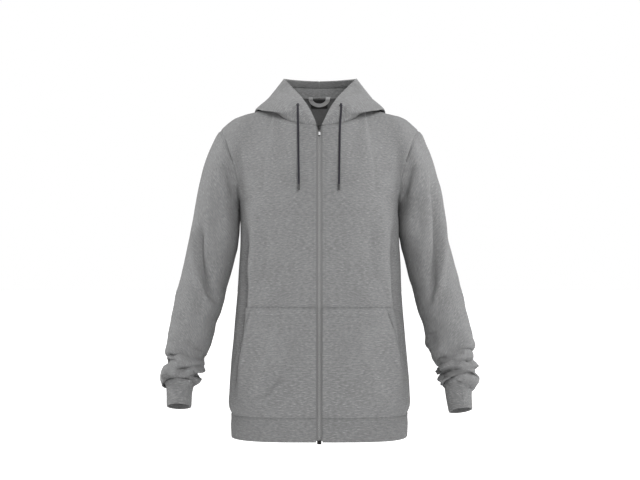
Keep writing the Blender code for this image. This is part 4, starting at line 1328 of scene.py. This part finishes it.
def run_tree(piece, tree, **inputs):
    """Puts a piece through a geometry tree and keeps the result as its plain mesh."""
    modifier = piece.modifiers.new(tree.name, "NODES")
    modifier.node_group = tree
    for item in tree.interface.items_tree:
        if item.in_out == "INPUT" and item.name in inputs:
            modifier[item.identifier] = inputs[item.name]
    bpy.context.view_layer.update()
    whole = piece.evaluated_get(bpy.context.evaluated_depsgraph_get())
    mesh = bpy.data.meshes.new_from_object(whole)
    piece.modifiers.remove(modifier)
    mesh.name = piece.name
    piece.data = mesh
    return piece


def line_beside(panel, edge, distance, inner=False, lift=0.00005):
    """A line on the cloth at a distance from one of its edges, and directions out."""
    outs = -panel.normals if inner else panel.normals
    parts = [panel.from_edge(edge), panel.layers()[int(inner)], outs]
    if edge in ("first", "last"):
        parts = [part.swapaxes(0, 1) for part in parts]
    if edge in ("last", "right"):
        parts = [part[:, ::-1] for part in parts]
    points, outs = (np.array([between(distance, at, row) for at, row in zip(parts[0], part)])
                    for part in parts[1:])
    outs = unit(outs)
    points = points + outs * lift
    if panel.tube:
        points, outs = (np.concatenate([line, line[:1]]) for line in (points, outs))
    return points, outs


def line_object(name, lines):
    """Lines of points as one mesh that carries the directions out."""
    edges = []
    start = 0
    for line, _ in lines:
        edges += [(start + i, start + i + 1) for i in range(len(line) - 1)]
        start += len(line)
    mesh = bpy.data.meshes.new(name)
    mesh.from_pydata(np.concatenate([line for line, _ in lines]).tolist(), edges, [])
    layer = mesh.attributes.new("out", "FLOAT_VECTOR", "POINT")
    layer.data.foreach_set("vector", np.concatenate([outs for _, outs in lines]).ravel())
    return put(name, mesh)


def solid(name, points, faces, material=None, crease=180):
    """A piece from points and faces, smooth but for edges sharper than its crease."""
    mesh = bpy.data.meshes.new(name)
    mesh.from_pydata(np.array(points).tolist(), [], faces)
    smooth_shaded(mesh, crease)
    if material:
        mesh.materials.append(material)
    return put(name, mesh)


def turned(count):
    """Cosines and sines of even turns."""
    turns = 2 * math.pi * np.arange(count) / count
    return np.stack([np.cos(turns), np.sin(turns)], axis=1)


def bridged(rings, sides, closed=False):
    """Faces between rings of points, with a cap at each end of an open run."""
    faces = []
    for ring in range(rings if closed else rings - 1):
        start, other = ring * sides, (ring + 1) % rings * sides
        for i in range(sides):
            after = (i + 1) % sides
            faces.append((start + i, start + after, other + after, other + i))
    if not closed:
        faces.append(tuple(range(sides - 1, -1, -1)))
        faces.append(tuple((rings - 1) * sides + i for i in range(sides)))
    return faces


def lozenge(name, half, sides=6):
    """A small closed capsule along X, with its half sizes."""
    points = [(-1.0, 0.0, 0.0)]
    for x, radius in ((-0.72, 0.8), (0.0, 1.0), (0.72, 0.8)):
        points += [(x, radius * cos, radius * sin) for cos, sin in turned(sides)]
    points.append((1.0, 0.0, 0.0))
    last = len(points) - 1
    faces = [[1 + corner for corner in face] for face in bridged(3, sides)[:-2]]
    for i in range(sides):
        after = (i + 1) % sides
        faces += [(0, 1 + after, 1 + i), (last, last - sides + i, last - sides + after)]
    return solid(name, np.array(points) * half, faces)


def sewn_lines(name, lines, part, tree, pitch, material):
    """Stitches or teeth set along lines, as one piece."""
    piece = line_object(name, lines)
    run_tree(piece, tree, Part=part, Pitch=pitch, Material=material)
    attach(piece, "garment")


# Hard pieces ---------------------------------------------------------------------------------

def rounded_outline(points, radius):
    """A closed outline with its corners rounded off."""
    points = np.array(points)
    outline = []
    for before, corner, after in zip(np.roll(points, 1, axis=0), points,
                                     np.roll(points, -1, axis=0)):
        start = corner + unit(before - corner) * radius
        end = corner + unit(after - corner) * radius
        for share in np.linspace(0.0, 1.0, 6):
            outline.append((1 - share)**2 * start + 2 * share * (1 - share) * corner
                           + share**2 * end)
    return np.array(outline)


def zip_place(points):
    """From the slider's own axes to the garment."""
    cos, sin = math.cos(ZIP_LEAN), math.sin(ZIP_LEAN)
    lean = np.array([(1.0, 0.0, 0.0), (0.0, cos, sin), (0.0, -sin, cos)])
    return np.array(points) @ lean.T + PULL_AXIS


def soft_plate(name, outline, front, behind, soften, hole=None):
    """A plate in the XZ plane with rounded rims, front towards -Y, on the zip."""
    away = unit(outline - outline.mean(axis=0))
    loops = [(outline - away * inset, y) for inset, y in (
        (soften, behind), (0.3 * soften, behind - 0.3 * soften), (0.0, behind - soften),
        (0.0, front + soften), (0.3 * soften, front + 0.3 * soften), (soften, front))]
    if hole is not None:
        away = unit(hole - hole.mean(axis=0))
        rim = 0.4 * soften
        loops += [(hole + away * rim, front), (hole, front + rim), (hole, behind - rim),
                  (hole + away * rim, behind)]
    points = [(x, y, z) for loop, y in loops for x, z in loop]
    faces = bridged(len(loops), len(outline), hole is not None)
    return facing_out(solid(name, zip_place(points), faces, crease=METAL_CREASE))


def facing_out(piece):
    """Turns every face of a closed piece outwards."""
    made = bmesh.new()
    made.from_mesh(piece.data)
    bmesh.ops.recalc_face_normals(made, faces=made.faces)
    made.to_mesh(piece.data)
    made.free()
    return piece


def joined(name, pieces):
    """Several meshes as one piece."""
    made = bmesh.new()
    for piece in pieces:
        made.from_mesh(piece.data)
        bpy.data.objects.remove(piece)
    mesh = bpy.data.meshes.new(name)
    made.to_mesh(mesh)
    made.free()
    smooth_shaded(mesh, METAL_CREASE)
    return put(name, mesh)


def arch(name, half_width, thickness):
    """The slider's bridge that holds the pull tab."""
    turns = np.linspace(-0.5 * math.pi, 0.5 * math.pi, 13)
    outer, inner = ([(0.0012 - (0.0031 - less) * max(0.0, math.cos(t)) ** 0.7,
                      (0.0030 - less) * math.sin(t)) for t in turns]
                    for less in (0.0, thickness))
    profile = outer + inner[::-1]
    count = len(profile)
    points = [(x, y, z) for x in (-half_width, half_width) for y, z in profile]
    faces = bridged(2, count)[:-2]
    for i in range(count // 2 - 1):
        faces.append((i, count - 1 - i, count - 2 - i, i + 1))
        faces.append((count + i, count + i + 1, 2 * count - 2 - i, 2 * count - 1 - i))
    return facing_out(solid(name, zip_place(points), faces))


def add_slider(finish):
    """The slider: two plates, a crown, the bridge and the post between the plates."""
    outline = rounded_outline(SLIDER, 0.0013)
    post = [(-0.0010, 0.0024), (0.0010, 0.0024), (0.0012, 0.0044), (-0.0012, 0.0044)]
    piece = joined("slider_body", [
        soft_plate("slider_face", outline, 0.0010, 0.0030, 0.0007),
        soft_plate("slider_crown", outline * 0.62, 0.0005, 0.0016, 0.0004),
        arch("slider_bridge", 0.0009, 0.0010),
        soft_plate("slider_back", outline, 0.0046, 0.0056, 0.0003),
        soft_plate("slider_post", rounded_outline(post, 0.0004), 0.0026, 0.0050, 0.0001)])
    piece.data.materials.append(finish)
    stand_in(piece, "zip_slider")


def add_pull(finish):
    """The pull tab, on its bar in the slider's bridge."""
    piece = soft_plate("pull_tab", rounded_outline(PULL_TAB, 0.0011), -0.0007, 0.0005, 0.0003,
                       rounded_outline(PULL_HOLE, 0.0004))
    piece.data.materials.append(finish)
    stand_in(piece, "zip_pull", "pull_tab")


def add_eyelet(hood, side, finish):
    """A ring on the hood's outer side where the cord comes out."""
    centre = np.mean(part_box("eyelet_" + side), axis=0)
    outer, _ = hood.layers()
    gaps = np.linalg.norm(outer - centre, axis=2)
    nearest = np.unravel_index(np.argmin(gaps), gaps.shape)
    out = unit(hood.normals[nearest])
    spot = centre + out * np.dot(outer[nearest] - centre, out)
    first = unit(np.cross(out, (0.0, 0.0, 1.0)))
    ways = turned(28) @ np.stack([first, np.cross(out, first)])
    points = [spot + way * (EYELET_RADIUS + EYELET_WIDTH * cos)
              + out * EYELET_RISE * (0.25 + sin)
              for way in ways for cos, sin in turned(8)]
    piece = solid("eyelet_ring_" + side, points, bridged(28, 8, True), finish)
    stand_in(facing_out(piece), "eyelet_" + side)


def tube(name, path, radii, material, sides=14):
    """A closed round tube along points, with its own radius at each."""
    runs = unit(np.gradient(path, axis=0))
    across = unit(np.cross(runs[0], (1.0, 0.0, 0.0)))
    points = []
    for run, centre, radius in zip(runs, path, radii):
        across = unit(across - run * np.dot(across, run))
        other = np.cross(run, across)
        points += [centre + radius * (cos * across + sin * other)
                   for cos, sin in turned(sides)]
    keys = distances(path)
    round_at = math.pi * CORD_DIAMETER / sides * np.arange(sides + 1)
    maps = [(x, y) for low, high in zip(keys, keys[1:])
            for left, right in zip(round_at, round_at[1:])
            for x, y in ((left, low), (right, low), (right, high), (left, high))]
    maps += [(0.0, 0.0)] * sides + [(0.0, keys[-1])] * sides
    piece = solid(name, points, bridged(len(path), sides), material, CLOTH_CREASE)
    piece.data.uv_layers.new(name="cloth").data.foreach_set("uv", np.array(maps).ravel())
    return facing_out(piece)


def add_drawcord(side, route, cord_finish, tip_finish):
    """The free end of a drawcord, with its dipped tip."""
    keys = distances(route)
    length = keys[-1]
    cord_end = length - 0.8 * CORD_TIP
    path = smooth(keys, route, np.linspace(0.0, cord_end, 180))
    radius = 0.5 * CORD_DIAMETER
    cord = tube("cord_" + side, path, np.full(len(path), radius), cord_finish)
    shares = np.linspace(0.0, 1.0, 24)
    tip_path = smooth(keys, route, length - CORD_TIP * (1 - shares))
    swell = radius * 1.12 * np.sqrt(np.clip(1 - np.clip((shares - 0.85) / 0.15, 0, 1) ** 2,
                                            0.04, 1))
    swell[0] = radius
    tip = tube("cord_tip_" + side, tip_path, swell, tip_finish)
    for piece in (cord, tip):
        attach(piece, "garment")
    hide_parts("drawcord_" + side)
    points = [tuple(point) for point in smooth(keys, route, np.linspace(0.0, cord_end, 32))]


# Assembly ------------------------------------------------------------------------------------

def ribbed(panel, times, finish, tree):
    """A panel cut finer across, with knitted ribs, standing for its node."""
    rows, count = panel.grid.shape[:2]
    at = np.arange(0, count if panel.tube else count - 1, 1.0 / times)
    if not panel.tube:
        at = np.append(at, count - 1.0)
    low = np.floor(at).astype(int)
    share = (at - low)[None, :, None]
    high = (low + 1) % count if panel.tube else np.minimum(low + 1, count - 1)
    grid, normals = (values[:, low % count] * (1 - share) + values[:, high] * share
                     for values in (panel.grid, panel.normals))
    fine = Panel(panel.name, grid, panel.wall, panel.flip, panel.tube)
    fine.normals = unit(normals)
    piece = put(panel.name + "_rib", wall_mesh(panel.name + "_rib", fine, finish, finish))
    across = fine.measure()[0][0]
    girth = across[-1]
    calm = ease(np.minimum(fine.from_edge("first"), fine.from_edge("last")), 0.0005, 0.004)
    outs = (fine.normals * calm[..., None]).reshape(-1, 3)
    layer = piece.data.attributes.new("across", "FLOAT", "POINT")
    layer.data.foreach_set("value", np.tile(across[:len(at)], 2 * rows) / girth)
    layer = piece.data.attributes.new("out", "FLOAT_VECTOR", "POINT")
    layer.data.foreach_set("vector", np.tile(outs, (2, 1)).ravel())
    run_tree(piece, tree, Pitch=1.0 / round(girth / RIB_PITCH), Depth=RIB_DEPTH,
             Material=finish)
    smooth_shaded(piece.data, CLOTH_CREASE)
    stand_in(piece, panel.name)


def sheet_of(panel, outside, inside, flat,
             node=True):
    """A panel as a sheet of cloth, which stands for its node if it has one."""
    name = panel.name + "_cloth"
    piece = put(name, wall_mesh(name, panel, outside, inside))
    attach(piece, "garment")
    if node:
        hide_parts(panel.name)


def dress():
    """Every piece, from the cloth to the cords, with its finish."""
    jersey = heather("heather_jersey_knit")
    ribbing = heather("heather_rib_knit", 0.96)
    # Inner sides of the fronts, back, sleeves and pockets: a darker fleece, partly its own
    # tone and partly painted shade.
    shaded_fleece = fleece_back()
    # Inside of the hood: the same heather at 1.7 times its tone, painted light against the
    # shade in the hood.
    hood_inside_painted_light = heather("hood_lining_knit", 1.7)
    tape_cloth = twill("zip_tape_twill", 0.13, 0.18, 0.0011)
    loop_cloth = twill("loop_herringbone", 0.36, 0.50, 0.0013)
    label_cloth = satin_label()
    teeth = moulded("zip_teeth_nylon", 0.004, 0.20, 0.25, 0.38)
    sewing = thread("grey_thread", 0.130)
    black_metal = metal("black_nickel_plate", 0.014, 0.30, 0.5)
    cord_finish = braid()
    tip_finish = moulded("dipped_tip", 0.003, 0.012, 0.022, 0.3)

    rows = row_tree()
    ribs = rib_tree()
    stitch = lozenge("stitch_part", (0.00125, 0.00034, 0.00026))
    tooth = lozenge("tooth_part", (0.00055, 0.0016, 0.0006), 8)

    panels = folded_panels()
    sheet_of(panels["back"], jersey, shaded_fleece, (0.53, 0.69))
    for side, sign in SIDES:
        front, hood = panels["front_" + side], panels["hood_" + side]
        pocket = pocket_panel(front, side)
        tape = tape_panel(front, panels["hem_band"], "zip_tape_" + side, sign)
        panels.update({pocket.name: pocket, tape.name: tape})
        sheet_of(front, jersey, shaded_fleece, (0.27, 0.66))
        sheet_of(panels["sleeve_" + side], jersey, shaded_fleece, (0.44, 0.56))
        sheet_of(hood, jersey, hood_inside_painted_light, (0.33, 0.36))
        sheet_of(pocket, jersey, shaded_fleece, (0.19, 0.225))
        sheet_of(tape, tape_cloth, tape_cloth, (0.0155, 0.648))
        sheet_of(inner_strip(hood, "hood_casing_" + side), jersey, jersey,
                 (0.024, 0.35), node=False)
        add_eyelet(hood, side, black_metal)
        ribbed(panels["cuff_" + side], 3, ribbing, ribs)
    ribbed(panels["hem_band"], 5, ribbing, ribs)

    # The tape inside the hood takes the same lightened knit: painted light.
    tape = seam_tape(panels["hood_left"], panels["hood_right"])
    sheet_of(tape, hood_inside_painted_light, hood_inside_painted_light,
             (2 * SEAM_TAPE, float(tape.measure()[1][-1, 4])), node=False)
    sheet_of(label_panel(panels["back"]), label_cloth, label_cloth,
             (0.036, 0.018))
    sheet_of(loop_panel(panels["back"]), loop_cloth, loop_cloth, (0.010, 0.078))

    sew(panels, stitch, rows, sewing)
    zip_teeth(panels, tooth, rows, teeth)
    for part in (stitch, tooth):
        bpy.data.objects.remove(part)

    add_slider(black_metal)
    add_pull(pull_finish())
    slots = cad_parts["zip_box"].data.materials
    slots.clear()
    slots.append(black_metal)
    add_drawcord("left", CORD_LEFT, cord_finish, tip_finish)
    add_drawcord("right", CORD_RIGHT, cord_finish, tip_finish)


def sew(panels, stitch, tree, material):
    """Seams that show their thread."""
    seams = {}
    for side, _ in SIDES:
        for name, kind, edge, distance, inner in STITCHED:
            line = line_beside(panels[kind + "_" + side], edge, distance, inner)
            seams.setdefault("stitches_" + name + "_" + side, []).append(line)
        neck = line_beside(panels["front_" + side], "last", BESIDE_SEAM)
        seams["stitches_neck_" + side] = [tuple(part[2:] for part in neck)]
    seams["stitches_hem"] = [line_beside(panels["hem_band"], "first", BESIDE_HEM,
                                         lift=0.00025)]
    seams["stitches_nape"] = [line_beside(panels["back"], "last", BESIDE_SEAM)]
    for name, lines in seams.items():
        sewn_lines(name, lines, stitch, tree, STITCH_PITCH, material)


def zip_teeth(panels, tooth, tree, material):
    """Two rows of teeth that mesh down the middle."""
    for side, sign in SIDES:
        tape = panels["zip_tape_" + side]
        outs = tape.normals[:, 0]
        line = tape.layers()[0][:, 0]
        line[:, 0] = sign * TOOTH_MIDDLE
        line = line + outs * 0.0001
        keep = line[:, 2] < TEETH_TOP
        line, outs = line[keep], outs[keep]
        line[0] += (line[1] - line[0]) * 0.5
        line[0, 2] += 0.0 if sign > 0 else 0.5 * TOOTH_PITCH
        sewn_lines("zip_teeth_" + side, [(line, outs)], tooth, tree, TOOTH_PITCH, material)


def set_stage():
    """A pale floor far below the garment, and soft light."""
    half = 30.0
    corners = [(-half, -half, FLOOR), (half, -half, FLOOR), (half, half, FLOOR),
               (-half, half, FLOOR)]
    solid("studio_floor", corners, [(0, 1, 2, 3)], pale_floor())

    world = bpy.data.worlds.new("studio")
    world.use_nodes = True
    sky = Tree(world.node_tree)
    _, _, height = sky.axes(sky.node("ShaderNodeTexCoord"))
    glow = 1.0 - sky.clamp(height * height, 0.035, 0.10) * (1.0 - SKY)
    background = world.node_tree.nodes["Background"]
    background.inputs["Color"].default_value = (1, 1, 1, 1)
    world.node_tree.links.new(glow.socket, background.inputs["Strength"])
    bpy.context.scene.world = world
    bpy.context.scene.view_settings.view_transform = "Standard"
    for name, place, size, power in LAMPS:
        lamp = bpy.data.lights.new(name, "AREA")
        lamp.shape = "DISK"
        lamp.size = size
        lamp.energy = power
        holder = put(name, lamp)
        holder.location = place
        aim = Vector((0.0, 0.0, -0.35)) - Vector(place)
        holder.rotation_euler = aim.to_track_quat("-Z", "Y").to_euler()


def set_camera():
    """A level camera in front, with the photograph's view."""
    lens = bpy.data.cameras.new("view")
    lens.sensor_width = SENSOR
    lens.lens = SENSOR * FOCAL_PIXELS / PHOTO_WIDTH
    camera = put("view", lens)
    camera.location = CAMERA
    camera.rotation_euler = (0.5 * math.pi, 0.0, 0.0)
    bpy.context.scene.camera = camera


set_camera()
set_stage()
dress()
